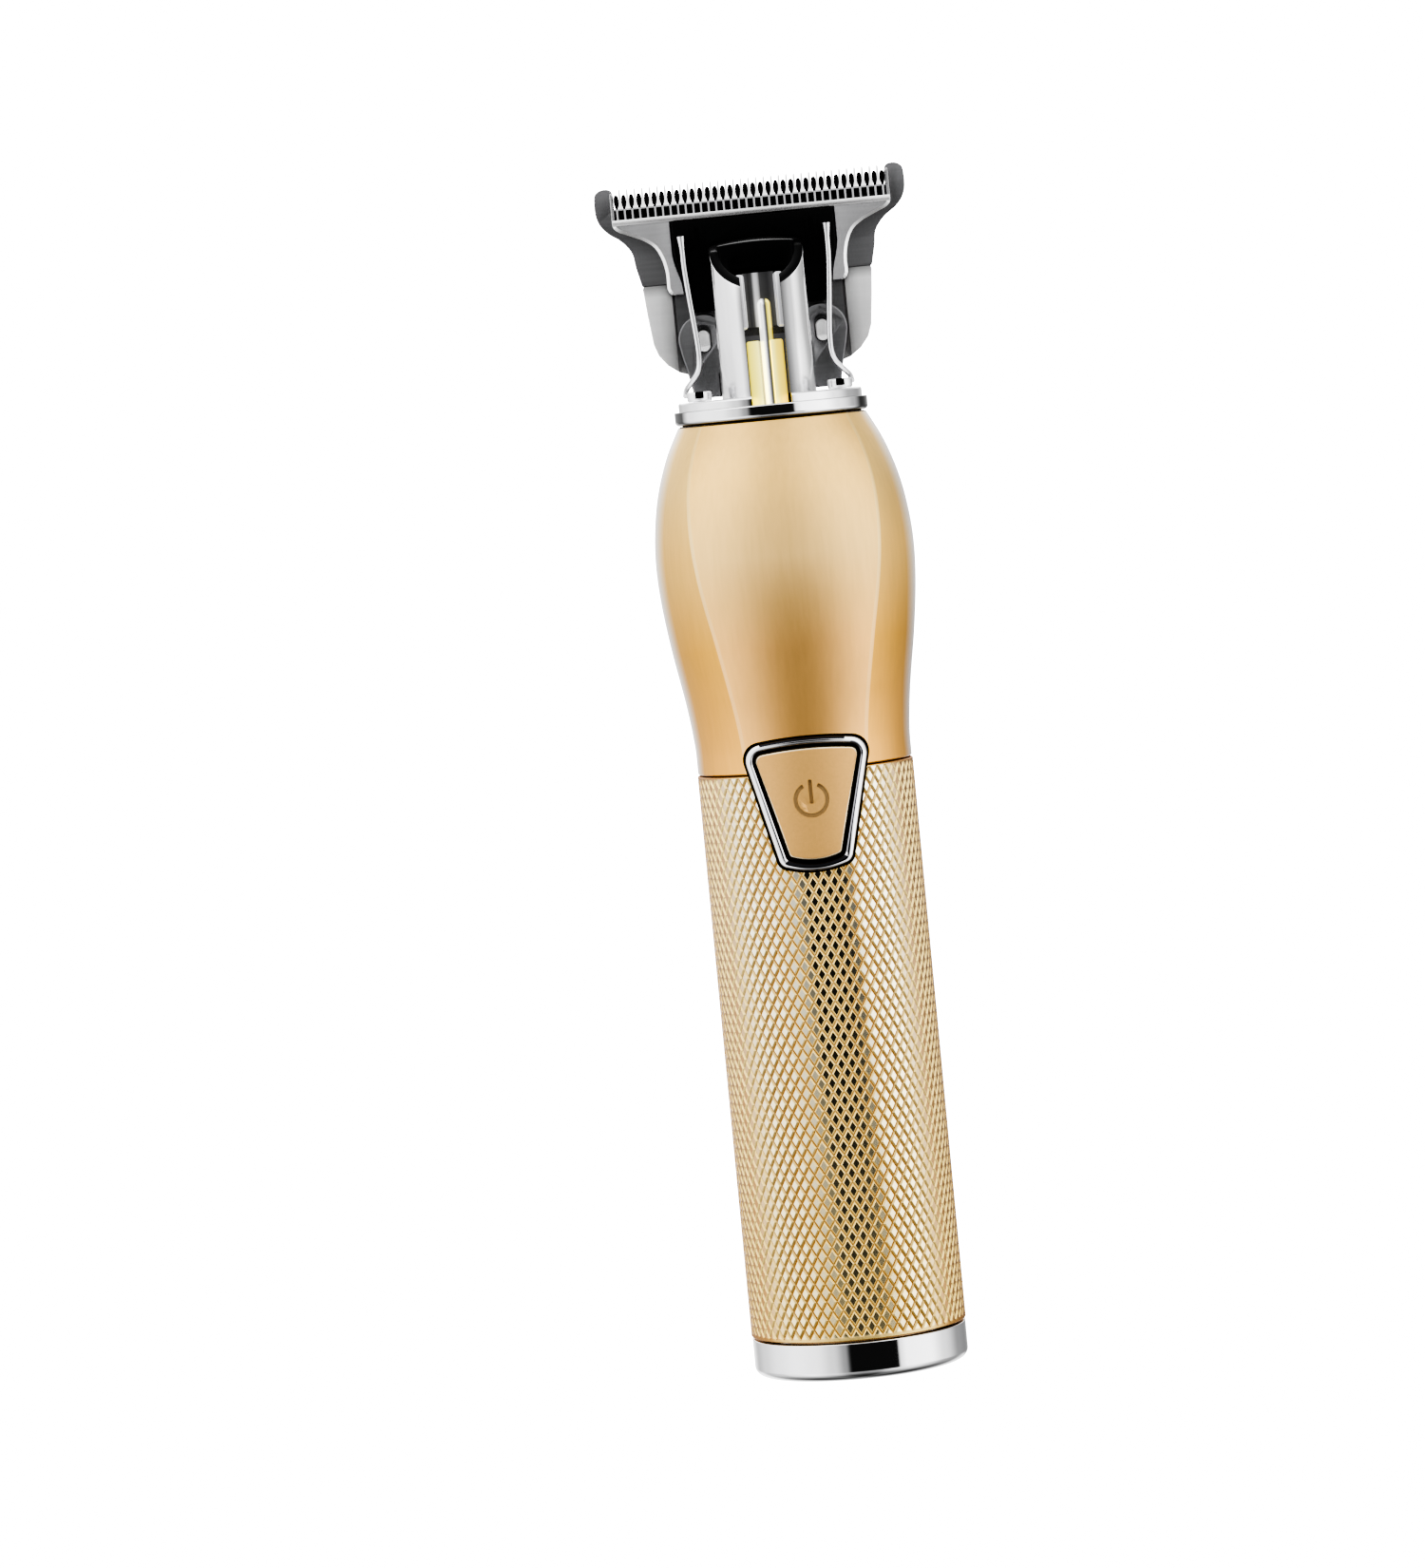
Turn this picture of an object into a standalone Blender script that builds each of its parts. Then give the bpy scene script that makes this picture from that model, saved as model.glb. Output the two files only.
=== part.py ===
# Cordless T-blade beard trimmer, modelled as the assembly it is on a bench.
#
# Frame: +Z runs up the handle towards the cutting teeth, -Y is the front (the
# side with the power button), +X is to the right seen from the front. The
# origin is the centre of the flat underside of the end cap, so the trimmer
# stands on Z = 0. Numbers below are millimetres and are turned into metres
# when the meshes are made.
#
# Profiles of turned parts are (radius, height) points. Outlines are (x, z)
# points when extruded along Y and (x, y) points when extruded along Z.
# Pairs named *_X, *_Y or *_Z are (low, high) spans along that axis.

import math

import bmesh
import bpy
from mathutils import Matrix, Vector

for old in list(bpy.data.objects):
    bpy.data.objects.remove(old)

MM = 0.001
SHARP_ANGLE = math.radians(32)          # steeper edges are shaded sharp
SIDES = (("left", -1), ("right", 1))    # side name, sign of x

# ------------------------------------------------------- shared driving sizes
USB_Y = 5.2                 # centre of the charging socket
SWITCH_Z = 76.7             # centre of the switch behind the button
ROTOR_AT = (0, 0, 120.0)
CUTTER_Y = (5.6, 6.7)       # moving blade
CUTTER_AT = (0, sum(CUTTER_Y) / 2, 151.0)
BLADE_Y = (6.9, 9.4)        # fixed blade, front and back face
NOSE_SCREW = (9.4, -3.0)    # x on the right side, y
BASE_SCREW = (3.6, 6.6)     # x on the right side, y
PITCH = 1.025               # tooth pitch of both blades

# ------------------------------------------------------------------ materials
FINISHES = {   # name: (colour, roughness, metallic)
    "gold_paint": ((0.71, 0.50, 0.24), 0.30, 1.0),
    "gold_knurl": ((0.86, 0.68, 0.36), 0.20, 1.0),
    "chrome": ((0.82, 0.82, 0.84), 0.06, 1.0),
    "nickel": ((0.70, 0.70, 0.71), 0.28, 1.0),
    "dark_steel": ((0.13, 0.13, 0.14), 0.38, 1.0),
    "bright_steel": ((0.62, 0.62, 0.63), 0.22, 1.0),
    "brass": ((0.85, 0.64, 0.22), 0.25, 1.0),
    "black_plastic": ((0.012, 0.012, 0.013), 0.40, 0.0),
    "black_rubber": ((0.02, 0.02, 0.02), 0.75, 0.0),
    "board_green": ((0.02, 0.16, 0.07), 0.45, 0.0),
    "cell_wrap": ((0.05, 0.18, 0.36), 0.35, 0.0),
    "copper": ((0.72, 0.34, 0.17), 0.35, 1.0),
    "ferrite": ((0.06, 0.06, 0.065), 0.60, 0.0),
    "zinc_steel": ((0.55, 0.56, 0.57), 0.32, 1.0),
    "clear_plastic": ((0.80, 0.82, 0.84), 0.10, 0.0),
    "lead_red": ((0.55, 0.02, 0.02), 0.45, 0.0),
    "lead_black": ((0.015, 0.015, 0.015), 0.45, 0.0),
}


def make_material(name, colour, roughness, metallic):
    material = bpy.data.materials.new(name)
    material.use_nodes = True
    shader = material.node_tree.nodes["Principled BSDF"]
    shader.inputs["Base Color"].default_value = (*colour, 1.0)
    shader.inputs["Roughness"].default_value = roughness
    shader.inputs["Metallic"].default_value = metallic
    return material


MATERIALS = {name: make_material(name, *finish) for name, finish in FINISHES.items()}


# ------------------------------------------------------------- solid builders
def solid(name, shape, material, parent=None, origin=(0.0, 0.0, 0.0), helper=False):
    """A mesh object from a bmesh in metres, shaded smooth with sharp edges.
    Its origin goes to a point in world millimetres, under an optional empty."""
    bmesh.ops.remove_doubles(shape, verts=shape.verts, dist=1e-7)
    bmesh.ops.recalc_face_normals(shape, faces=shape.faces)
    mesh = bpy.data.meshes.new(name)
    shape.to_mesh(mesh)
    shape.free()
    mesh.materials.append(MATERIALS[material])
    mesh.shade_smooth()
    mesh.set_sharp_from_angle(angle=SHARP_ANGLE)
    obj = bpy.data.objects.new(name, mesh)
    at = Vector(origin) * MM
    mesh.transform(Matrix.Translation(-at))
    obj.location = at
    if parent is not None:
        obj.parent = parent
        obj.location = obj.location - parent.location
    bpy.context.scene.collection.objects.link(obj)
    if helper:
        obj.hide_render = True
        obj.display_type = "WIRE"
    return obj


def turned(name, profile, material, segments=48, at=(0.0, 0.0), axis="Z", **options):
    """A solid of revolution. The profile is closed through the axis when its
    two ends are on it, else into a ring. at is (x, y), or (x, z) for axis Y,
    where the heights run along +Y."""
    shape = bmesh.new()
    verts = [shape.verts.new((radius * MM, 0.0, height * MM)) for radius, height in profile]
    edges = [shape.edges.new(pair) for pair in zip(verts, verts[1:])]
    if profile[0][0] > 0 or profile[-1][0] > 0:
        edges.append(shape.edges.new((verts[-1], verts[0])))
    bmesh.ops.spin(shape, geom=verts + edges, cent=(0, 0, 0), axis=(0, 0, 1),
                   angle=2 * math.pi, steps=segments, use_merge=True)
    if axis == "Y":
        shape.transform(Matrix.Rotation(math.radians(-90), 4, "X"))
        shape.transform(Matrix.Translation((at[0] * MM, 0.0, at[1] * MM)))
    else:
        shape.transform(Matrix.Translation((at[0] * MM, at[1] * MM, 0.0)))
    return solid(name, shape, material, **options)


def prism(name, outline, span, material, axis="Y", **options):
    """An outline extruded over a span of the axis."""
    low, high = span
    shape = bmesh.new()
    if axis == "Y":
        verts = [shape.verts.new((x * MM, low * MM, z * MM)) for x, z in outline]
        step = Vector((0.0, (high - low) * MM, 0.0))
    else:
        verts = [shape.verts.new((x * MM, y * MM, low * MM)) for x, y in outline]
        step = Vector((0.0, 0.0, (high - low) * MM))
    face = shape.faces.new(verts)
    grown = bmesh.ops.extrude_face_region(shape, geom=[face])["geom"]
    bmesh.ops.translate(shape, vec=step,
                        verts=[item for item in grown if isinstance(item, bmesh.types.BMVert)])
    return solid(name, shape, material, **options)


def block(name, x_span, y_span, z_span, material, **options):
    (left, right), (front, back) = x_span, y_span
    return prism(name, [(left, front), (right, front), (right, back), (left, back)],
                 z_span, material, axis="Z", **options)


def ring_loft(rings):
    """A bmesh skinned through equal rings of (x, y, z), the last to the first."""
    shape = bmesh.new()
    made = [[shape.verts.new((x * MM, y * MM, z * MM)) for x, y, z in ring] for ring in rings]
    count = len(rings[0])
    for ring, following in zip(made, made[1:] + made[:1]):
        for k in range(count):
            after = (k + 1) % count
            shape.faces.new((ring[k], ring[after], following[after], following[k]))
    return shape


def wire(name, points, radius, material):
    """A round wire or insulated lead along smooth points, ends capped."""
    curve = bpy.data.curves.new(name, "CURVE")
    curve.dimensions = "3D"
    curve.bevel_depth = radius * MM
    curve.bevel_resolution = 1
    curve.use_fill_caps = True
    curve.resolution_u = 3
    line = curve.splines.new("BEZIER")
    line.bezier_points.add(len(points) - 1)
    for knot, point in zip(line.bezier_points, points):
        knot.co = Vector(point) * MM
        knot.handle_left_type = "AUTO"
        knot.handle_right_type = "AUTO"
    curve.materials.append(MATERIALS[material])
    bpy.context.scene.collection.objects.link(bpy.data.objects.new(name, curve))


def boolean(obj, tool, operation):
    modifier = obj.modifiers.new(f"{operation.title()}_{tool.name}", "BOOLEAN")
    modifier.operation = operation
    modifier.solver = "EXACT"
    modifier.object = tool


def cut(obj, tool):
    boolean(obj, tool, "DIFFERENCE")


def join(obj, tool):
    boolean(obj, tool, "UNION")


def trim(obj, tool):
    """Keeps only what lies inside the tool."""
    boolean(obj, tool, "INTERSECT")


# ------------------------------------------------------ profiles and outlines
def rod(radius, low, high):
    """Profile of a plain cylinder."""
    return [(0, low), (radius, low), (radius, high), (0, high)]


def tube(inner, outer, low, high):
    """Profile of a plain ring."""
    return [(inner, low), (outer, low), (outer, high), (inner, high)]


def on_side(points, side):
    """Points given for the right side, put on the side with this sign of x."""
    return [(x * side, *rest) for x, *rest in points]


def flipped(points):
    """The points mirrored across x = 0, in reverse order."""
    return on_side(reversed(points), -1)


def mirrored(right_half):
    """A symmetric outline from its right half, listed from bottom to top."""
    return right_half + flipped([point for point in right_half if point[0] > 0])


def circle(center_x, center_y, radius, segments, start=0.0, end=360.0):
    """Points of a circle, or of an arc with both its ends, by degrees."""
    count = segments if abs(end - start) >= 360 else segments + 1
    angles = [math.radians(start + (end - start) * k / segments) for k in range(count)]
    return [(center_x + radius * math.cos(angle), center_y + radius * math.sin(angle))
            for angle in angles]


def arc_band(outer, inner, segments, start, end):
    """Part of a flat ring about the origin."""
    return circle(0, 0, outer, segments, start, end) + circle(0, 0, inner, segments, end, start)


def upright_slot(x, low, high, radius, segments):
    """A slot with round ends, centred at low and high."""
    return (circle(x, high, radius, segments, 0, 180)
            + circle(x, low, radius, segments, 180, 360))


def rounded(corners, steps=4):
    """Outline from (x, z, radius) corners, each rounded with an arc."""
    outline = []
    for i, (x, z, radius) in enumerate(corners):
        if radius <= 0:
            outline.append((x, z))
            continue
        corner = Vector((x, z))
        to_last = (Vector(corners[i - 1][:2]) - corner).normalized()
        to_next = (Vector(corners[(i + 1) % len(corners)][:2]) - corner).normalized()
        half = math.acos(max(-1, min(1, to_last.dot(to_next)))) / 2
        reach = radius / math.tan(half)
        centre = corner + (to_last + to_next).normalized() * (radius / math.sin(half))
        start = corner + to_last * reach - centre
        end = corner + to_next * reach - centre
        sweep = start.angle_signed(end)
        for k in range(steps + 1):
            turn = -sweep * k / steps
            cosine, sine = math.cos(turn), math.sin(turn)
            outline.append((centre.x + start.x * cosine - start.y * sine,
                            centre.y + start.x * sine + start.y * cosine))
    return outline


def shield(top, bottom, z_low, z_high, r_top, r_bottom, bow):
    """The button's outline: a trapezium, wide at the top, with bowed ends.
    top and bottom are half widths, r_top and r_bottom corner radii."""
    return rounded([(-bottom, z_low, r_bottom), (-bottom * 0.4, z_low - bow, 0),
                    (0, z_low - bow * 1.2, 0), (bottom * 0.4, z_low - bow, 0),
                    (bottom, z_low, r_bottom),
                    (top, z_high, r_top), (top * 0.45, z_high + bow * 0.85, 0),
                    (0, z_high + bow * 1.1, 0),
                    (-top * 0.45, z_high + bow * 0.85, 0), (-top, z_high, r_top)])


def between(stations, z):
    """Smooth value at height z from (z, value) stations (Catmull-Rom)."""
    if z <= stations[0][0]:
        return stations[0][1]
    if z >= stations[-1][0]:
        return stations[-1][1]
    i = next(i for i in range(len(stations) - 1) if z <= stations[i + 1][0])
    z_low, low = stations[i]
    z_high, high = stations[i + 1]
    before = stations[i - 1] if i else (2 * z_low - z_high, 2 * low - high)
    after = (stations[i + 2] if i + 2 < len(stations)
             else (2 * z_high - z_low, 2 * high - low))
    slope_low = (high - before[1]) / (z_high - before[0]) * (z_high - z_low)
    slope_high = (after[1] - low) / (after[0] - z_low) * (z_high - z_low)
    t = (z - z_low) / (z_high - z_low)
    return ((2 * t**3 - 3 * t**2 + 1) * low + (t**3 - 2 * t**2 + t) * slope_low
            + (-2 * t**3 + 3 * t**2) * high + (t**3 - t**2) * slope_high)


# -------------------------------------------------------- joints' own empties
def axis_empty(name, at):
    empty = bpy.data.objects.new(name, None)
    empty.location = Vector(at) * MM
    bpy.context.scene.collection.objects.link(empty)
    return empty


ON_ROTOR = {"parent": axis_empty("rotor_axis", ROTOR_AT), "origin": ROTOR_AT}
ON_CUTTER = {"parent": axis_empty("cutter_guide", CUTTER_AT), "origin": CUTTER_AT}
button_guide = axis_empty("button_guide", (0, -14.0, SWITCH_Z))
plunger_guide = axis_empty("plunger_guide", (0, -11.2, SWITCH_Z))

# ---------------------------------------------------- end cap and USB socket
CAP_R = 14.4            # outside radius
CAP_H = 5.1             # visible height
CAP_SPIGOT_R = 13.1     # upper part, inside the sleeve
CAP_BORE_R = 11.9
CAP_TOP = 8.0
CAP_FLOOR = 1.4         # thickness of the bottom
CAP_PROFILE = [
    (0, 0), (13.2, 0), (13.8, 0.15), (14.2, 0.5), (CAP_R, 1.1), (CAP_R, CAP_H),
    (CAP_SPIGOT_R, CAP_H), (CAP_SPIGOT_R, CAP_TOP), (CAP_BORE_R, CAP_TOP),
    (CAP_BORE_R, CAP_FLOOR), (0, CAP_FLOOR)]
CAP_CUT_Z = (-1.0, 3.0)
LAMP_X = 7.0            # charge light, beside the socket


def socket_span(half_depth):
    return (USB_Y - half_depth, USB_Y + half_depth)


def socket_outline(half_width, half_depth, radius, steps):
    front, back = socket_span(half_depth)
    return rounded([(-half_width, front, radius), (half_width, front, radius),
                    (half_width, back, radius), (-half_width, back, radius)], steps)


def build_end_cap():
    cap = turned("end_cap", CAP_PROFILE, "chrome")
    cut(cap, prism("port_cut", socket_outline(4.1, 1.65, radius=0.7, steps=3),
                   CAP_CUT_Z, "chrome", axis="Z", helper=True))
    cut(cap, prism("lamp_cut", circle(LAMP_X, USB_Y, 1.0, 12), CAP_CUT_Z, "chrome",
                   axis="Z", helper=True))


def build_usb_socket():
    shell = prism("usb_shell", socket_outline(3.75, 1.35, radius=0.5, steps=2),
                  (0.3, 5.6), "zinc_steel", axis="Z")
    cut(shell, block("usb_bore", (-3.4, 3.4), socket_span(1.0), (-1.0, 7.0),
                     "zinc_steel", helper=True))
    insulator = block("usb_insulator", (-3.1, 3.1), socket_span(0.75), (4.5, 6.0),
                      "black_plastic")
    join(insulator, block("usb_tongue_form", (-1.85, 1.85), socket_span(0.3), (1.1, 4.8),
                          "black_plastic", helper=True))


def build_charge_board():
    block("charge_board", (-8.0, 8.0), (6.85, 7.85), (1.8, 10.8), "board_green")
    turned("charge_light_pipe", rod(0.8, 0.2, 6.0), "clear_plastic", segments=12,
           at=(LAMP_X, USB_Y))


# --------------------------------------------------------------- grip sleeve
GRIP_R = 14.5           # outside radius
GRIP_IN = 13.4          # bore radius
GRIP_LOW, GRIP_HIGH = 5.4, 81.2
GRIP_BEVEL = 0.3

# Outlines about the button, as (half width at top, at bottom, z low, z high,
# corner radius at top, at bottom, bow of the ends)
OPENING = shield(8.90, 5.00, 68.75, 85.2, 2.45, 1.35, 0.75)
BEZEL_OUT = shield(8.64, 4.78, 69.0, 84.95, 2.35, 1.3, 0.75)
BEZEL_IN = shield(7.28, 3.66, 69.9, 84.05, 1.25, 0.85, 0.60)
BUTTON = shield(7.00, 3.42, 70.2, 83.75, 0.95, 0.60, 0.55)
SEAL_OUT = shield(6.75, 4.1, 68.4, 84.0, 1.2, 0.8, 0.5)
SEAL_IN = shield(4.9, 2.6, 71.0, 81.6, 0.8, 0.6, 0.4)
SHIELD_Y = (-18.0, -8.0)        # reach of the tools made from them
SEAL_TOOL_Y = (-18.0, -6.0)


def build_grip_sleeve(opening_cut):
    sleeve = turned("grip_sleeve", [
        (GRIP_IN, GRIP_LOW), (GRIP_R - GRIP_BEVEL, GRIP_LOW), (GRIP_R, GRIP_LOW + GRIP_BEVEL),
        (GRIP_R, GRIP_HIGH - GRIP_BEVEL), (GRIP_R - GRIP_BEVEL, GRIP_HIGH),
        (GRIP_IN, GRIP_HIGH)], "gold_knurl", segments=64)
    cut(sleeve, opening_cut)


# ------------------------------------------------------------- upper housing
# (z, outside radius)
HOUSING_R = [(81.5, 14.40), (85.0, 14.45), (90.5, 15.05), (98.2, 16.32),
             (104.5, 17.10), (109.7, 17.35), (114.5, 17.02), (119.3, 16.13),
             (124.0, 14.55), (128.0, 12.54)]
# (z, degrees of the creases from the front and back centre lines)
CREASE_DEG = [(81.5, 33.0), (90.0, 34.6), (98.8, 37.8), (104.4, 41.4), (110.0, 44.6),
              (115.0, 46.6), (120.0, 47.6), (128.0, 49.6)]
CREASE_RISE = 0.045     # how far the crease stands out, as a share of the radius
HOUSING_LOW, HOUSING_HIGH = HOUSING_R[0][0], HOUSING_R[-1][0]
HOUSING_WALL = 1.5
HOUSING_CEILING = 126.0     # underside of the top web
HOUSING_HOLE_R = 6.4        # hole in the top web
PANEL_STEPS = 10            # segments across each panel
OUTER_LEVELS = (HOUSING_LOW, 85.0, 89.0, 93.5, 99.0, 104.5, 109.7, 114.5, 118.8, 122.4,
                125.4, 127.2, HOUSING_HIGH)
INNER_LEVELS = (HOUSING_CEILING, 121.5, 115.5, 108.0, 98.5, 89.0, HOUSING_LOW)


def panel_arc(reach, half_chord, end_reach):
    """Arc through (0, reach) from (-half_chord, end_reach) to just short of
    (half_chord, end_reach), where the next panel starts."""
    drop = reach - end_reach
    radius = (half_chord**2 + drop**2) / (2 * drop)
    swing = math.asin(half_chord / radius)
    angles = [-swing + 2 * swing * k / PANEL_STEPS for k in range(PANEL_STEPS)]
    return [(radius * math.sin(angle), reach - radius + radius * math.cos(angle))
            for angle in angles]


def housing_ring(z, inset):
    """One level of the housing: front and back panels and two flanks, each an
    arc. On the outside they meet in creases that stand a little out of the
    round, less so near the ends."""
    radius = between(HOUSING_R, z) - inset
    crease = math.radians(between(CREASE_DEG, z))
    fade = min(1.0, 0.35 + (z - HOUSING_LOW) / 16.0, 0.35 + (HOUSING_HIGH - z) / 10.0)
    rim = radius * (1 + (CREASE_RISE * fade if inset == 0 else 0))
    crease_x, crease_y = rim * math.sin(crease), rim * math.cos(crease)
    panel = panel_arc(radius, crease_x, crease_y)
    flank = panel_arc(radius, crease_y, crease_x)
    front = [(along, -out) for along, out in panel]
    right = [(out, along) for along, out in flank]
    back = [(-along, out) for along, out in panel]
    left = [(-out, -along) for along, out in flank]
    return front + right + back + left


def housing_shell():
    rings = [[(x, y, z) for x, y in housing_ring(z, 0.0)] for z in OUTER_LEVELS]
    hole = [(HOUSING_HOLE_R * x / math.hypot(x, y), HOUSING_HOLE_R * y / math.hypot(x, y))
            for x, y, _ in rings[-1]]
    rings += [[(x, y, z) for x, y in hole] for z in (HOUSING_HIGH, HOUSING_CEILING)]
    rings += [[(x, y, z) for x, y in housing_ring(z, HOUSING_WALL)] for z in INNER_LEVELS]
    return ring_loft(rings)


def build_upper_housing(opening_cut):
    housing = solid("upper_housing", housing_shell(), "gold_paint")
    cut(housing, opening_cut)
    for _, side in SIDES:
        cut(housing, turned(f"web_bore_{side}", rod(0.95, 124.5, 129.0), "chrome", segments=12,
                            at=(NOSE_SCREW[0] * side, NOSE_SCREW[1]), helper=True))


# -------------------------------------------------- button, bezel and seal
BAND_Z = (62.0, 90.0)   # turned bands that are trimmed to shields
BAND_IN = 12.85         # inside radius of bezel and button
BEZEL_R = 15.15
BUTTON_R = 14.75
SEAL_IN_R, SEAL_R = 11.45, 12.05


def build_button_bezel():
    bezel = turned("button_bezel", tube(BAND_IN, BEZEL_R, *BAND_Z), "chrome", segments=72)
    trim(bezel, prism("bezel_outline", BEZEL_OUT, SHIELD_Y, "chrome", helper=True))
    cut(bezel, prism("bezel_window", BEZEL_IN, SHIELD_Y, "chrome", helper=True))


def build_power_button():
    button = turned("power_button", tube(BAND_IN, BUTTON_R, *BAND_Z), "gold_paint",
                    segments=96, parent=button_guide)
    trim(button, prism("button_outline", BUTTON, SHIELD_Y, "gold_paint", helper=True))
    join(button, turned("button_stem_form", rod(1.3, -13.4, -11.95), "gold_paint",
                        segments=16, at=(0, SWITCH_Z), axis="Y", helper=True))


def build_button_seal():
    seal = turned("button_seal", tube(SEAL_IN_R, SEAL_R, *BAND_Z), "black_rubber",
                  segments=64)
    trim(seal, prism("seal_outline", SEAL_OUT, SEAL_TOOL_Y, "black_rubber", helper=True))
    cut(seal, prism("seal_window", SEAL_IN, SEAL_TOOL_Y, "black_rubber", helper=True))


# -------------------------------------------------- control board and switch
SWITCH_HALF = 3.0       # half width and half height of the switch body


def build_control_board():
    block("control_board", (-5.5, 5.5), (-9.6, -8.6), (65.6, 84.6), "board_green")
    block("control_chip", (-2.5, 2.5), (-8.35, -7.2), (69.0, 74.0), "black_plastic")


def build_tact_switch():
    body = block("tact_switch_body", (-SWITCH_HALF, SWITCH_HALF), (-11.2, -9.75),
                 (SWITCH_Z - SWITCH_HALF, SWITCH_Z + SWITCH_HALF), "black_plastic")
    cut(body, turned("switch_well", rod(1.7, -12.0, -9.95), "black_plastic", segments=16,
                     at=(0, SWITCH_Z), axis="Y", helper=True))
    turned("tact_switch_plunger", rod(1.45, -11.8, -10.6), "zinc_steel", segments=16,
           at=(0, SWITCH_Z), axis="Y", parent=plunger_guide)


# ---------------------------------------------- inner chassis, rear and front
CHASSIS_R, CHASSIS_IN = 12.5, 11.3
CHASSIS_Z = (8.4, 117.5)
CHASSIS_GAP = 0.1       # each half stands this far off Y = 0
RIB_X = (-5.0, 5.0)
RIB_NEAR, RIB_FAR = 0.4, 11.9       # distances from Y = 0
RIB_LEVELS = ((11.0, 12.1), (64.2, 65.2))


def chassis_half(name, sign, start):
    """One half with its ribs; sign is that of its y, start its first degree."""
    band = arc_band(CHASSIS_R, CHASSIS_IN, 24, start, start + 180)
    half = prism(name, [(x, y + CHASSIS_GAP * sign) for x, y in band], CHASSIS_Z,
                 "black_plastic", axis="Z")
    rib_y = sorted((RIB_NEAR * sign, RIB_FAR * sign))
    for i, rib_z in enumerate(RIB_LEVELS):
        join(half, block(f"{name}_rib_{i}", RIB_X, rib_y, rib_z, "black_plastic",
                         helper=True))
    return half


def build_chassis():
    rear = chassis_half("chassis_rear", sign=1, start=0)
    join(rear, block("motor_shelf_form", (-4.0, 4.0), (4.6, RIB_FAR), (84.2, 85.6),
                     "black_plastic", helper=True))
    front = chassis_half("chassis_front", sign=-1, start=180)
    cut(front, block("chassis_window", (-7.2, 7.2), (-14.0, -7.0), (65.5, 86.6),
                     "black_plastic", helper=True))


# ------------------------------------------- battery: 18500 lithium cell, tabs
CELL_R, CELL_END_R, CELL_BEVEL = 9.1, 8.6, 0.5
CELL_LOW, CELL_HIGH = 13.0, 62.4
POLE_R, POLE_TOP = 2.9, CELL_HIGH + 0.9     # positive pole on the upper end
TAB_X = (-3.0, 3.0)


def build_battery():
    turned("battery_cell", [
        (0, CELL_LOW), (CELL_END_R, CELL_LOW), (CELL_R, CELL_LOW + CELL_BEVEL),
        (CELL_R, CELL_HIGH - CELL_BEVEL), (CELL_END_R, CELL_HIGH), (POLE_R, CELL_HIGH),
        (POLE_R, POLE_TOP), (0, POLE_TOP)], "cell_wrap", segments=32)
    block("battery_tab_negative", TAB_X, (-9.0, 3.0), (12.4, 12.7), "zinc_steel")
    block("battery_tab_positive", TAB_X, (-2.5, 8.5), (63.5, 63.8), "zinc_steel")


# -------------------------------------------------------------------- leads
LEAD_R = 0.5
# Paths as (x, y, z); the charge and motor paths are those of the right side.
NEGATIVE_PATH = [(3.7, -8.2, 12.8), (6.4, -7.6, 13.4), (8.4, -5.6, 16), (8.5, -5.4, 20),
                 (8.5, -5.4, 56), (8.2, -5.6, 61), (6.6, -6.8, 65), (4.8, -7.8, 68.0),
                 (4.5, -7.9, 69.2)]
POSITIVE_PATH = [(-3.6, 3.4, 63.5), (-6.1, 2.9, 63.8), (-7.0, 0.6, 65.2),
                 (-6.4, -4.0, 66.8), (-4.9, -7.2, 68.4), (-4.5, -7.85, 69.8)]
CHARGE_PATH = [(6.0, 6.2, 8.6), (7.5, 6.0, 10.6), (8.4, 5.5, 14), (8.5, 5.4, 18),
               (8.5, 5.4, 56), (8.5, 5.0, 61), (8.2, 1.0, 67.0), (6.4, -5.2, 72.0),
               (4.6, -7.8, 75.2)]
MOTOR_PATH = [(3.0, -7.85, 79.2), (3.4, -5.5, 80.2), (4.8, 0.5, 81.4), (5.5, 2.45, 82.6)]


def build_leads():
    wire("battery_lead_negative", NEGATIVE_PATH, LEAD_R, "lead_black")
    wire("battery_lead_positive", POSITIVE_PATH, LEAD_R, "lead_red")
    for pole, side, cover in (("positive", -1, "lead_red"), ("negative", 1, "lead_black")):
        wire(f"charge_lead_{pole}", on_side(CHARGE_PATH, side), LEAD_R, cover)
        wire(f"motor_lead_{pole}", on_side(MOTOR_PATH, side), LEAD_R, cover)


# -------------------------------------------------------------------- motor
MOTOR_R = 10.0
MOTOR_LOW, MOTOR_HIGH = 88.0, 117.6
CAN_IN = 9.2
CAN_ROOF = 116.6            # underside of the can's closed end
BELL_R = MOTOR_R - 0.1
BELL_IN = 1.15
TERMINAL_X = 5.5
TERMINAL_HALF = 0.3
MAGNET_R, MAGNET_IN, MAGNET_HALF_DEG = 8.95, 7.6, 58
ARM_R, ARM_HALF_DEG = 7.1, 48       # outer face of each armature arm
# (radius, degrees past the arm's middle), from one arm round to the next
ARM_GAP = ((5.6, 47), (2.4, 45), (2.4, 75), (5.6, 73))
ROTOR_BORE_R = 1.12
MOTOR_SCREW_X = 7.0


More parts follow.
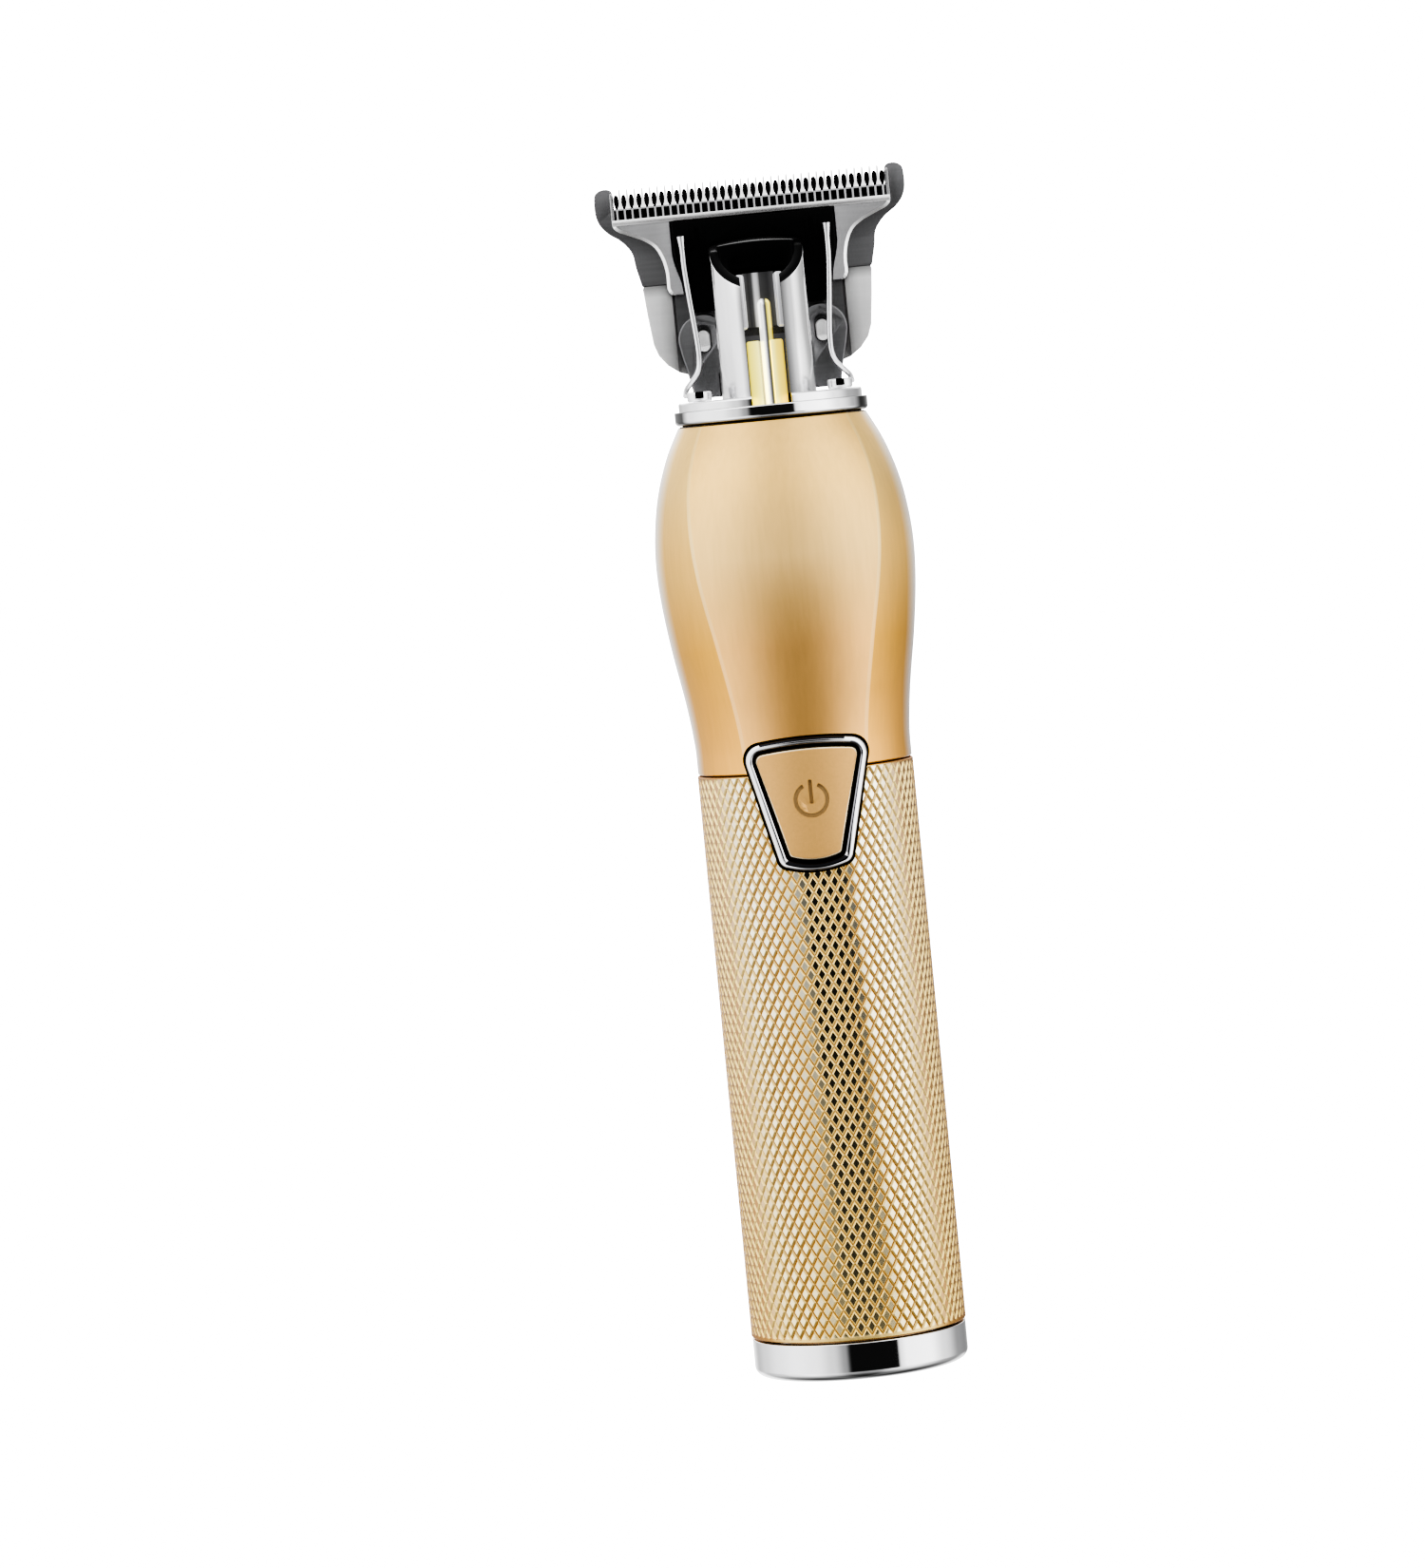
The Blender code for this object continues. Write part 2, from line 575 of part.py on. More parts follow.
def build_motor_case():
    """Returns the can, which the mounting screws are cut into."""
    can = turned("motor_can", [
        (CAN_IN, MOTOR_LOW), (MOTOR_R, MOTOR_LOW), (MOTOR_R, MOTOR_HIGH - 0.8),
        (MOTOR_R - 0.8, MOTOR_HIGH), (3.1, MOTOR_HIGH), (3.1, 118.6), (2.35, 118.6),
        (2.35, CAN_ROOF), (CAN_IN, CAN_ROOF)], "zinc_steel", segments=32)
    turned("motor_end_bell", [(BELL_IN, 86.0), (9.6, 86.0), (BELL_R, 86.4), (BELL_R, 87.7),
                              (BELL_IN, 87.7)], "black_plastic", segments=32)
    turned("motor_bushing", tube(1.06, 2.2, 114.6, 118.4), "brass", segments=24)
    for name, side in SIDES:
        middle = TERMINAL_X * side
        block(f"motor_terminal_{name}", (middle - TERMINAL_HALF, middle + TERMINAL_HALF),
              (3.0, 4.4), (82.2, 85.7), "copper")
    return can


def build_magnets():
    for name, middle in (("left", 180), ("right", 0)):
        prism(f"magnet_{name}",
              arc_band(MAGNET_R, MAGNET_IN, 12, middle - MAGNET_HALF_DEG,
                       middle + MAGNET_HALF_DEG), (94.0, 112.0), "ferrite", axis="Z")


def build_armature():
    outline = []
    for k in range(3):
        middle = 120.0 * k
        outline += circle(0, 0, ARM_R, 8, middle - ARM_HALF_DEG, middle + ARM_HALF_DEG)
        for radius, degrees in ARM_GAP:
            angle = math.radians(middle + degrees)
            outline.append((radius * math.cos(angle), radius * math.sin(angle)))
    armature = prism("armature", outline, (95.0, 111.0), "copper", axis="Z", **ON_ROTOR)
    cut(armature, turned("armature_bore", rod(ROTOR_BORE_R, 90, 115), "copper",
                         segments=16, helper=True))


def build_shaft():
    turned("commutator", tube(ROTOR_BORE_R, 2.6, 89.5, 93.6), "copper", segments=24,
           **ON_ROTOR)
    turned("motor_shaft", [(0, 85.4), (0.8, 85.4), (1.0, 85.6), (1.0, 121.4),
                           (0.8, 121.6), (0, 121.6)], "bright_steel", segments=24,
           **ON_ROTOR)


def build_motor_mount(can):
    plate = turned("motor_plate", tube(3.4, 12.1, 117.9, 118.9), "zinc_steel", segments=32)
    for name, side in SIDES:
        at = (MOTOR_SCREW_X * side, 0)
        hole = turned(f"motor_screw_{name}_hole", rod(1.2, 115, 120), "chrome",
                      segments=12, at=at, helper=True)
        cut(plate, hole)
        cut(can, hole)
        turned(f"motor_screw_{name}", [(0, 116.9), (0.95, 116.9), (0.95, 119.1),
                                       (1.9, 119.1), (1.7, 120.3), (0, 120.3)],
               "zinc_steel", segments=16, at=at)


# --------------------------------------------------- eccentric drive and guide
THROW = 0.5             # eccentric throw, half the cutter's stroke
THROW_ANGLE = math.radians(44)      # from the front towards the right
PIN_AT = (THROW * math.sin(THROW_ANGLE), -THROW * math.cos(THROW_ANGLE))
PIN_R = 0.9
PIN_TOP = 144.0
GUIDE_R, GUIDE_BORE = 2.45, 1.65
GUIDE_TOP = 138.4
GUIDE_FOOT_R = 6.9
GUIDE_LOW, GUIDE_STEP = 128.4, 129.6    # underside and top of its foot


def build_eccentric():
    hub = turned("eccentric_hub", [(0, 119.3), (3.0, 119.3), (3.0, 123.6), (2.6, 124.0),
                                   (0, 124.0)], "brass", segments=24, **ON_ROTOR)
    cut(hub, turned("hub_shaft_hole", rod(1.1, 118.0, 121.8), "brass", segments=16,
                    helper=True))
    cut(hub, turned("hub_pin_hole", rod(1.0, 122.2, 125.0), "brass", segments=16,
                    at=PIN_AT, helper=True))
    turned("drive_pin", [(0, 122.4), (PIN_R, 122.4), (PIN_R, PIN_TOP - 0.75),
                         (0.74, PIN_TOP - 0.3), (0.4, PIN_TOP - 0.06), (0, PIN_TOP)],
           "bright_steel", segments=20, at=PIN_AT, **ON_ROTOR)


def build_shaft_guide():
    guide = turned("shaft_guide", [
        (GUIDE_BORE, GUIDE_LOW), (GUIDE_FOOT_R, GUIDE_LOW), (GUIDE_FOOT_R, GUIDE_STEP),
        (GUIDE_R, GUIDE_STEP), (GUIDE_R, GUIDE_TOP - 0.3), (GUIDE_R - 0.3, GUIDE_TOP),
        (GUIDE_BORE, GUIDE_TOP)], "brass", segments=32)
    cut(guide, block("guide_slot", (-0.82, 0.82), (-4.0, 0.0), (129.75, 140.0), "brass",
                     helper=True))


# ------------------------------------------------------------- collar and nose
COLLAR_R, COLLAR_IN = 12.95, 7.25
COLLAR_LOW, COLLAR_HIGH = 128.15, 129.7
FLANGE_R, FLANGE_IN = 12.3, 2.6
FLANGE_LOW, FLANGE_HIGH = 129.9, 131.1
NOSE_LOW = 130.4
NOSE_R = 6.3            # front half of the nose is this round
NOSE_BACK = 4.2         # flat back of the nose
NOSE_CORNER = 1.3       # radius of its back corners
NOSE_WALL = 1.3
CHANNEL = 2.65          # half width of the open channel in the nose


def build_collar():
    return turned("collar_ring", [
        (COLLAR_IN, COLLAR_LOW), (12.35, COLLAR_LOW), (12.8, COLLAR_LOW + 0.25),
        (COLLAR_R, COLLAR_LOW + 0.75), (12.8, COLLAR_HIGH - 0.25), (12.35, COLLAR_HIGH),
        (COLLAR_IN, COLLAR_HIGH)], "chrome")


def nose_outline(inset):
    radius, back = NOSE_R - inset, NOSE_BACK - inset
    corner = NOSE_CORNER - inset * 0.6
    return (circle(0, 0, radius, 24, 180, 360)
            + circle(radius - corner, back - corner, corner, 3, 0, 90)
            + circle(-(radius - corner), back - corner, corner, 3, 90, 180))


def nose_mouth(y):
    """Height of the mouth: on a slope, its front edge lower than its back."""
    return 150.4 + (0.38 * y if y > 0 else 0.52 * y)


def nose_tube():
    """A D-shaped tube, round in front and flat behind."""
    outer, inner = nose_outline(0.0), nose_outline(NOSE_WALL)
    return ring_loft([[(x, y, NOSE_LOW) for x, y in outer],
                      [(x, y, nose_mouth(y)) for x, y in outer],
                      [(x, y, nose_mouth(y)) for x, y in inner],
                      [(x, y, NOSE_LOW) for x, y in inner]])


def build_nose_frame():
    frame = turned("nose_frame", [
        (FLANGE_IN, FLANGE_LOW), (11.9, FLANGE_LOW), (FLANGE_R, FLANGE_LOW + 0.3),
        (FLANGE_R, FLANGE_HIGH - 0.3), (12.0, FLANGE_HIGH), (FLANGE_IN, FLANGE_HIGH)],
        "chrome")
    join(frame, solid("nose_form", nose_tube(), "chrome", helper=True))
    cut(frame, block("channel_cut", (-CHANNEL, CHANNEL), (-8.0, -3.0), (131.4, 153.0),
                     "chrome", helper=True))
    cut(frame, block("fork_window", (-3.95, 3.95), (1.5, 5.5), (139.2, 148.3), "chrome",
                     helper=True))
    return frame


def build_nose_screws(frame, collar):
    for name, side in SIDES:
        x = NOSE_SCREW[0] * side
        at = (x, NOSE_SCREW[1])
        hole = turned(f"nose_screw_{name}_hole", rod(1.1, 127, 133), "chrome",
                      segments=16, at=at, helper=True)
        cut(frame, hole)
        cut(collar, hole)
        screw = turned(f"nose_screw_{name}", [
            (0, 125.2), (0.8, 125.2), (0.8, 131.4), (1.65, 131.4), (1.65, 132.2),
            (1.5, 132.4), (0, 132.4)], "bright_steel", segments=20, at=at)
        cut(screw, block(f"nose_screw_{name}_slot", (x - 0.5, x + 0.5), (-6.0, -2.1),
                         (131.75, 133.0), "bright_steel", helper=True))


# --------------------------------------------------------------- fixed blade
FIXED_TIP, FIXED_ROOT = 160.5, 157.8
FIXED_TOOTH = [(0.30, FIXED_ROOT), (0.12, FIXED_TIP)]     # (half width, z)
FIXED_LOW = 147.5
# right edge of the blade, from its bottom up to the first tooth
FIXED_EDGE = [
    (15.6, FIXED_LOW), (15.85, 148.1), (16.15, 149.9), (16.4, 151.6), (17.1, 152.8),
    (18.1, 153.8), (19.4, 154.7), (20.42, 155.9), (20.92, 157.4), (20.90, 159.6),
    (20.55, 160.25), (19.85, 160.6), (19.0, 160.6), (18.5, 160.3), (18.2, 159.6),
    (18.2, FIXED_ROOT)]
TANG = mirrored([(0, 136.6), (4.6, 136.6), (6.35, 135.2), (6.35, 131.5), (9.9, 131.5),
                 (10.3, 134.0), (11.1, 137.2), (11.35, 139.4), (11.35, 148.6)])
TANG_Y = (BLADE_Y[0] + 0.05, BLADE_Y[0] + 1.0)
LUG_X, LUG_Z, LUG_R = 8.0, 139.35, 3.4      # screw lug, on the right side
LUG_OUTLINE = circle(LUG_X, LUG_Z, LUG_R, 14, 0, 180) + [
    (4.9, 136.0), (6.35, 134.4), (6.35, 131.5), (9.85, 131.5), (10.25, 134.0),
    (11.05, 137.2)]
LUG_SLOT_Z = (138.6, 140.2)     # end centres of the slots in the lug
BLADE_SCREW_Z = LUG_SLOT_Z[0]
# bevel that thins the teeth from behind, (y, z)
RELIEF = ((9.6, 154.0), (12.0, 154.0), (12.0, 162.0), (7.42, 162.0))
RELIEF_X = (-22.0, 22.0)


def teeth(centres, half_tooth):
    """Teeth from right to left; half_tooth is (half width, z), root to tip."""
    outline = []
    for centre in centres:
        outline += [(centre + half, z) for half, z in half_tooth]
        outline += [(centre - half, z) for half, z in reversed(half_tooth)]
    return outline


def build_fixed_blade():
    centres = [k * PITCH for k in range(17, -18, -1)]
    outline = ([(0, FIXED_LOW)] + FIXED_EDGE + teeth(centres, FIXED_TOOTH)
               + flipped(FIXED_EDGE))
    blade = prism("fixed_blade", outline, BLADE_Y, "dark_steel")
    join(blade, prism("tang_form", TANG, TANG_Y, "dark_steel", helper=True))
    for _, side in SIDES:
        join(blade, prism(f"lug_form_{side}", on_side(LUG_OUTLINE, side), (5.0, 7.3),
                          "dark_steel", helper=True))
    for _, side in SIDES:
        x = LUG_X * side
        cut(blade, prism(f"lug_sink_{side}", upright_slot(x, *LUG_SLOT_Z, 1.05, 8),
                         (3.0, 6.3), "dark_steel", helper=True))
        cut(blade, prism(f"lug_slit_{side}", upright_slot(x, *LUG_SLOT_Z, 0.68, 6),
                         (6.0, 9.0), "dark_steel", helper=True))
    relief = bmesh.new()
    for x in RELIEF_X:
        for y, z in RELIEF:
            relief.verts.new((x * MM, y * MM, z * MM))
    bmesh.ops.convex_hull(relief, input=list(relief.verts))
    cut(blade, solid("tooth_relief", relief, "dark_steel", helper=True))


# ---------------------------------------------------------------- blade base
BASE = mirrored([(0, 131.4), (6.2, 131.4), (6.2, 134.0), (9.6, 134.6), (11.8, 135.4),
                 (13.8, 136.9), (14.8, 139.0), (15.2, 143.3), (15.5, 147.2), (0, 147.2)])
WING = [(11.65, 135.45), (11.8, 135.5), (13.7, 137.0), (14.7, 139.05), (15.1, 143.3),
        (15.4, 147.1), (11.65, 147.1)]      # on the right side


def build_blade_base(frame):
    base = prism("blade_base", BASE, (8.2, BLADE_Y[1]), "nickel")
    for _, side in SIDES:
        join(base, prism(f"wing_form_{side}", on_side(WING, side), (7.1, 8.8), "nickel",
                         helper=True))
    join(base, block("foot_form", (-6.1, 6.1), (4.9, 8.8), (131.45, 132.6), "nickel",
                     helper=True))
    for _, side in SIDES:
        cut(base, turned(f"base_hole_{side}", rod(0.72, 7.0, 12.0), "nickel", segments=12,
                         at=(LUG_X * side, BLADE_SCREW_Z), axis="Y", helper=True))
        foot_hole = turned(f"foot_hole_{side}", rod(0.85, 129.0, 134.0), "nickel",
                           segments=12, at=(BASE_SCREW[0] * side, BASE_SCREW[1]),
                           helper=True)
        cut(base, foot_hole)
        cut(frame, foot_hole)


def build_blade_screws():
    for name, side in SIDES:
        x = LUG_X * side
        screw = turned(f"blade_screw_{name}", [
            (0, 5.05), (0.55, 5.15), (0.9, 5.5), (0.9, 6.1), (0.55, 6.1), (0.55, 9.2),
            (0, 9.2)], "bright_steel", segments=16, at=(x, BLADE_SCREW_Z), axis="Y")
        join(screw, prism(f"blade_screw_{name}_key_form",
                          upright_slot(x, BLADE_SCREW_Z, 140.05, 0.92, 8), (5.75, 6.15),
                          "bright_steel", helper=True))


def build_base_screws():
    for name, side in SIDES:
        turned(f"base_screw_{name}", [(0, 130.1), (0.7, 130.1), (0.7, 132.8),
                                      (1.35, 132.8), (1.2, 133.6), (0, 133.6)],
               "bright_steel", segments=16, at=(BASE_SCREW[0] * side, BASE_SCREW[1]))


# -------------------------------------------------------------- moving blade
MOVING_TIP, MOVING_ROOT = 159.7, 156.35
MOVING_TOOTH = [(0.17, MOVING_ROOT), (0.17, 157.8), (0.33, 158.5), (0.31, 159.2),
                (0.13, MOVING_TIP)]     # (half width, z)
# right outer edge, from the bottom up to the first tooth
MOVING_EDGE = [
    (9.95, 145.6), (11.26, 145.6), (11.9, 145.9), (12.2, 146.6), (12.16, 147.95),
    (12.33, 149.6), (12.74, 151.0), (13.38, 152.2), (14.36, 153.0), (15.68, 153.7),
    (17.3, 154.4), (18.28, 154.9), (18.75, 155.6), (18.75, 159.9), (18.45, 160.1),
    (18.3, 159.9), (18.3, MOVING_ROOT)]
# right inner edge, from the top down
MOVING_INNER = [(11.05, 155.46), (11.05, 151.0), (10.6, 148.8), (10.15, 147.2)]


def build_moving_blade():
    centres = [(k + 0.5) * PITCH for k in range(17, -19, -1)]
    outline = (MOVING_EDGE + teeth(centres, MOVING_TOOTH) + flipped(MOVING_EDGE)
               + flipped(MOVING_INNER) + MOVING_INNER)
    prism("moving_blade", outline, CUTTER_Y, "bright_steel", **ON_CUTTER)


# ---------------------------------------------------------------- drive yoke
YOKE = mirrored([(0, 143.1), (9.2, 143.1), (9.55, 145.5), (9.85, 147.2), (10.3, 148.8),
                 (10.75, 151.0), (10.75, 155.15), (0, 155.15)])
YOKE_Y = (4.6, 6.5)
PRONG_NEAR, PRONG_FAR = 2.0, 3.2        # inner and outer face of a prong, from x = 0


def build_drive_yoke():
    yoke = prism("drive_yoke", YOKE, YOKE_Y, "black_plastic", **ON_CUTTER)
    for _, side in SIDES:
        prong_x = sorted((PRONG_NEAR * side, PRONG_FAR * side))
        join(yoke, block(f"prong_form_{side}", prong_x, (-1.7, 5.4), (140.0, 147.5),
                         "black_plastic", helper=True))


# -------------------------------------------------------------- spring wires
SPRING_R = 0.36
# (x, y, z) on the right side, from the top down
SPRING_PATH = [(9.72, 3.95, 153.2), (9.7, 3.95, 149.0), (9.35, 3.95, 144.5),
               (9.0, 3.95, 140.5), (8.85, 3.9, 137.2), (9.15, 3.6, 135.3),
               (10.2, 3.0, 133.9), (11.0, 2.0, 132.9), (11.2, 0.6, 131.9)]


def build_springs():
    for name, side in SIDES:
        wire(f"spring_wire_{name}", on_side(SPRING_PATH, side), SPRING_R, "bright_steel")


# ------------------------------------------------------------------ assembly
def build_handle():
    build_end_cap()
    build_usb_socket()
    build_charge_board()
    opening_cut = prism("opening_cut", OPENING, SHIELD_Y, "chrome", helper=True)
    build_grip_sleeve(opening_cut)
    build_upper_housing(opening_cut)
    build_button_bezel()
    build_power_button()
    build_button_seal()
    build_control_board()
    build_tact_switch()
    build_chassis()
    build_battery()
    build_leads()


def build_drive():
    can = build_motor_case()
    build_magnets()
    build_armature()
    build_shaft()
    build_motor_mount(can)
    build_eccentric()
    build_shaft_guide()


def build_head():
    collar = build_collar()
    frame = build_nose_frame()
    build_nose_screws(frame, collar)
    build_fixed_blade()
    build_blade_base(frame)
    build_blade_screws()
    build_base_screws()
    build_moving_blade()
    build_drive_yoke()
    build_springs()


build_handle()
build_drive()
build_head()
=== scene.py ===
# A cordless T-blade beard trimmer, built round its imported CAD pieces. It stands on
# its end cap at z = 0: +Z runs up the handle to the teeth, -Y is the front with the
# button, and X runs across the blade. Sizes are in millimetres unless a comment says
# otherwise; MM turns them into the scene's metres.

import math

import bmesh
import bpy
from mathutils import Matrix, Vector

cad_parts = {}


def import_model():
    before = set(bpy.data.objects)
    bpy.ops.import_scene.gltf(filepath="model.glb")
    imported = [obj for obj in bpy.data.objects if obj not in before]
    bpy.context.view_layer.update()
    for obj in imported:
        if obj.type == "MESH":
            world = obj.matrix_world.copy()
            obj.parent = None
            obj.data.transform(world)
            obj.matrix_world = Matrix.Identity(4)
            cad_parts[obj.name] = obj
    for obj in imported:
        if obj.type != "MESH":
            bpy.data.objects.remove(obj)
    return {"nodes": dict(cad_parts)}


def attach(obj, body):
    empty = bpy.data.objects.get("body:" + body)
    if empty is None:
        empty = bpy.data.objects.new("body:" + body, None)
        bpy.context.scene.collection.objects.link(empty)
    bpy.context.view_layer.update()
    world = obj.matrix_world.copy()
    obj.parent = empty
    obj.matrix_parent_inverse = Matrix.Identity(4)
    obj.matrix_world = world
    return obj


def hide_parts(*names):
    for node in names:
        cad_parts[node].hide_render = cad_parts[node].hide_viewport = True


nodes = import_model()["nodes"]
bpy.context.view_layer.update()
scene = bpy.context.scene
MM = 0.001
SIDES = ((-1, "left"), (1, "right"))      # sign of x, name


# ============================================================== shader utilities
M = {}                                    # every material by its name


def noise(tree, scale, detail, rough, stretch=(1, 1, 1)):
    """Noise in object space; a low stretch draws the grain out along that axis."""
    coord = tree.nodes.new("ShaderNodeTexCoord")
    mapping = tree.nodes.new("ShaderNodeMapping")
    mapping.inputs["Scale"].default_value = stretch
    texture = tree.nodes.new("ShaderNodeTexNoise")
    texture.inputs["Scale"].default_value = scale
    texture.inputs["Detail"].default_value = detail
    texture.inputs["Roughness"].default_value = rough
    tree.links.new(coord.outputs["Object"], mapping.inputs["Vector"])
    tree.links.new(mapping.outputs["Vector"], texture.inputs["Vector"])
    return texture.outputs["Fac"]


def ramp(tree, source, stops, mode="LINEAR"):
    """A colour ramp over (position, grey level or colour) stops."""
    made = tree.nodes.new("ShaderNodeValToRGB")
    made.color_ramp.interpolation = mode
    elements = made.color_ramp.elements
    while len(elements) < len(stops):
        elements.new(0.5)
    for element, (position, colour) in zip(elements, stops):
        element.position = position
        if not isinstance(colour, tuple):
            colour = (colour, colour, colour)
        element.color = (*colour, 1.0)
    tree.links.new(source, made.inputs["Fac"])
    return made.outputs["Color"]


def mixed(tree, amount, first, second, blend="MIX"):
    """Mixes two colours; the amount is a number or a socket."""
    mix = tree.nodes.new("ShaderNodeMix")
    mix.data_type = "RGBA"
    mix.blend_type = blend
    factor, colour_a, colour_b = mix.inputs[0], mix.inputs[6], mix.inputs[7]
    if isinstance(amount, float):
        factor.default_value = amount
    else:
        tree.links.new(amount, factor)
    tree.links.new(first, colour_a)
    tree.links.new(second, colour_b)
    return mix.outputs[2]


def level_along(tree, axis, stops, folded=False):
    """A level read along one axis from (mm, level) stops; folded reads |axis|."""
    coord = tree.nodes.new("ShaderNodeTexCoord")
    split = tree.nodes.new("ShaderNodeSeparateXYZ")
    tree.links.new(coord.outputs["Object"], split.inputs[0])
    value = split.outputs[axis]
    if folded:
        fold = tree.nodes.new("ShaderNodeMath")
        fold.operation = "ABSOLUTE"
        tree.links.new(value, fold.inputs[0])
        value = fold.outputs[0]
    low, high = stops[0][0], stops[-1][0]
    span = tree.nodes.new("ShaderNodeMapRange")
    span.inputs["From Min"].default_value = low * MM
    span.inputs["From Max"].default_value = high * MM
    tree.links.new(value, span.inputs["Value"])
    return ramp(tree, span.outputs[0],
                [((place - low) / (high - low), level) for place, level in stops])


def parts_of(name):
    """The node tree, the shader and the base colour's source of a material."""
    tree = M[name].node_tree
    shader = tree.nodes["Principled BSDF"]
    return tree, shader, shader.inputs["Base Color"].links[0].from_socket


def grained(name, colour, tone, grain, relief, depth, polish):
    """A material whose colour varies by tone with a fine grain (noise arguments),
    raised by relief and depth. Polish is None, or (scale of the patches, lowest
    roughness, highest roughness)."""
    mat = bpy.data.materials.new(name)
    mat.use_nodes = True
    tree = mat.node_tree
    shader = tree.nodes["Principled BSDF"]
    fine = noise(tree, **grain)
    dark, light = (tuple(min(1.0, c * by) for c in colour) for by in (1 - tone, 1 + tone))
    tree.links.new(ramp(tree, fine, [(0.3, dark), (0.7, light)]), shader.inputs["Base Color"])
    if polish:
        scale, lowest, highest = polish
        patches = noise(tree, scale=scale, detail=2.0, rough=0.5)
        tree.links.new(ramp(tree, patches, [(0.3, lowest), (0.7, highest)]),
                       shader.inputs["Roughness"])
    if relief:
        bump = tree.nodes.new("ShaderNodeBump")
        bump.inputs["Strength"].default_value = relief
        bump.inputs["Distance"].default_value = depth
        tree.links.new(fine, bump.inputs["Height"])
        tree.links.new(bump.outputs["Normal"], shader.inputs["Normal"])
    M[name] = mat
    return shader


def metal(name, colour, rough=None, spread=0.03, stretch=(1, 1, 1), scale=900.0,
          tone=0.05, relief=0.0):
    """A metal; without rough its roughness is left to roughened()."""
    polish = None if rough is None else (160.0, rough - spread, rough + spread)
    grain = dict(scale=scale, detail=4.0, rough=0.55, stretch=stretch)
    shader = grained(name, colour, tone, grain, relief, 0.00002, polish)
    shader.inputs["Metallic"].default_value = 1.0


def plastic(name, colour, rough, scale=2500.0, relief=0.12, tone=0.12, clear=None,
            specular=None):
    """Moulded plastic or rubber with a fine spark-eroded texture."""
    grain = dict(scale=scale, detail=3.0, rough=0.6)
    shader = grained(name, colour, tone, grain, relief, 0.00003,
                     (220.0, rough - 0.05, rough + 0.05))
    if clear:
        shader.inputs["Transmission Weight"].default_value = clear
    if specular:
        shader.inputs["Specular IOR Level"].default_value = specular


def paint_edge_light(name, stops):
    """Blends the base colour towards others at glancing angles: a painted sheen, shade or
    reflection at the edges.
    """
    tree, shader, base = parts_of(name)
    weight = tree.nodes.new("ShaderNodeLayerWeight")
    weight.inputs["Blend"].default_value = 0.5
    facing = weight.outputs["Facing"]
    amount = ramp(tree, facing, [(glance, share) for glance, _, share in stops])
    hue = ramp(tree, facing, [(glance, colour) for glance, colour, _ in stops])
    tree.links.new(mixed(tree, amount, base, hue), shader.inputs["Base Color"])


def graded(name, axis, stops, folded=False):
    """Multiplies the base colour by a level read along one axis: painted light and shade
    along that axis.
    """
    tree, shader, base = parts_of(name)
    level = level_along(tree, axis, stops, folded)
    tree.links.new(mixed(tree, 1.0, base, level, "MULTIPLY"), shader.inputs["Base Color"])


def roughened(name, axis, stops):
    """Sets the roughness by a level read along one axis."""
    tree, shader, _ = parts_of(name)
    tree.links.new(level_along(tree, axis, stops), shader.inputs["Roughness"])


def paint_glow(name, strength):
    """A painted glow in the piece's own colour: painted light that lifts a piece sitting deep
    between dark walls.
    """
    tree, shader, base = parts_of(name)
    tree.links.new(base, shader.inputs["Emission Color"])
    shader.inputs["Emission Strength"].default_value = strength


# ===================================================================== materials
# painted edge light at glancing angles, a white sheen, an orange shade or a black reflection:
# (how glancing, colour, share)
EDGE_WHITE_SHEEN = [(0.0, (1, 1, 1), 0.0), (0.66, (1.0, 0.93, 0.88), 0.0),
              (0.84, (0.98, 0.95, 0.93), 0.8), (1.0, (1.0, 0.98, 0.97), 1.0)]
EDGE_ORANGE_SHADE = [(0.0, (1, 1, 1), 0.0), (0.24, (0.72, 0.42, 0.15), 0.0),
               (0.46, (0.54, 0.29, 0.11), 0.85), (1.0, (0.40, 0.21, 0.10), 0.97)]
EDGE_BLACK_REFLECTION = [(0.0, (1, 1, 1), 0.0), (0.50, (0.03, 0.03, 0.03), 0.0),
              (0.62, (0.03, 0.03, 0.03), 0.95), (1.0, (0.02, 0.02, 0.02), 1.0)]
# (height, colour level): painted light and shade in bands up the housing and its flanks;
# (height, roughness) up the housing
HOUSING_PAINTED_LIGHT = [(86.0, (1.11, 1.01, 0.99)), (98.0, (1.10, 1.02, 1.02)),
                (104.0, (1.08, 1.10, 1.17)), (110.0, (1.12, 1.24, 1.44)),
                (120.0, (1.05, 1.10, 1.08))]
FLANK_PAINTED_LIGHT = [(83.0, (1.10, 1.06, 1.06)), (90.0, (1.06, 1.02, 0.97)),
              (98.0, (1.00, 0.98, 0.84)), (108.0, (1.04, 1.18, 1.45)),
              (120.0, (1.08, 1.30, 1.80))]
HOUSING_ROUGH = [(86.0, 0.42), (97.0, 0.42), (104.0, 0.50), (110.0, 0.57), (120.0, 0.44)]
# directions of brushed grain, as noise stretches
UPRIGHT = (1, 1, 0.2)
CROSSWISE = (0.06, 1, 1)


def housing_gold(name, colour, painted_light):
    metal(name, colour, stretch=(1, 1, 0.08), scale=1600.0, tone=0.03, relief=0.05)
    # painted light and shade in bands by height
    graded(name, "Z", painted_light)
    roughened(name, "Z", HOUSING_ROUGH)


def button_gold(name, colour, rough=0.60, relief=0.08):
    metal(name, colour, rough=rough, spread=0.02, scale=2400.0, tone=0.03, relief=relief)


def chrome(name, colour, rough=None, stretch=(1, 1, 1)):
    metal(name, colour, rough=rough, spread=0.012, stretch=stretch, scale=700.0, tone=0.01)


def steel(name, colour, rough, spread=0.03, stretch=(1, 1, 1), tone=0.02):
    metal(name, colour, rough=rough, spread=spread, stretch=stretch, scale=1500.0, tone=tone)
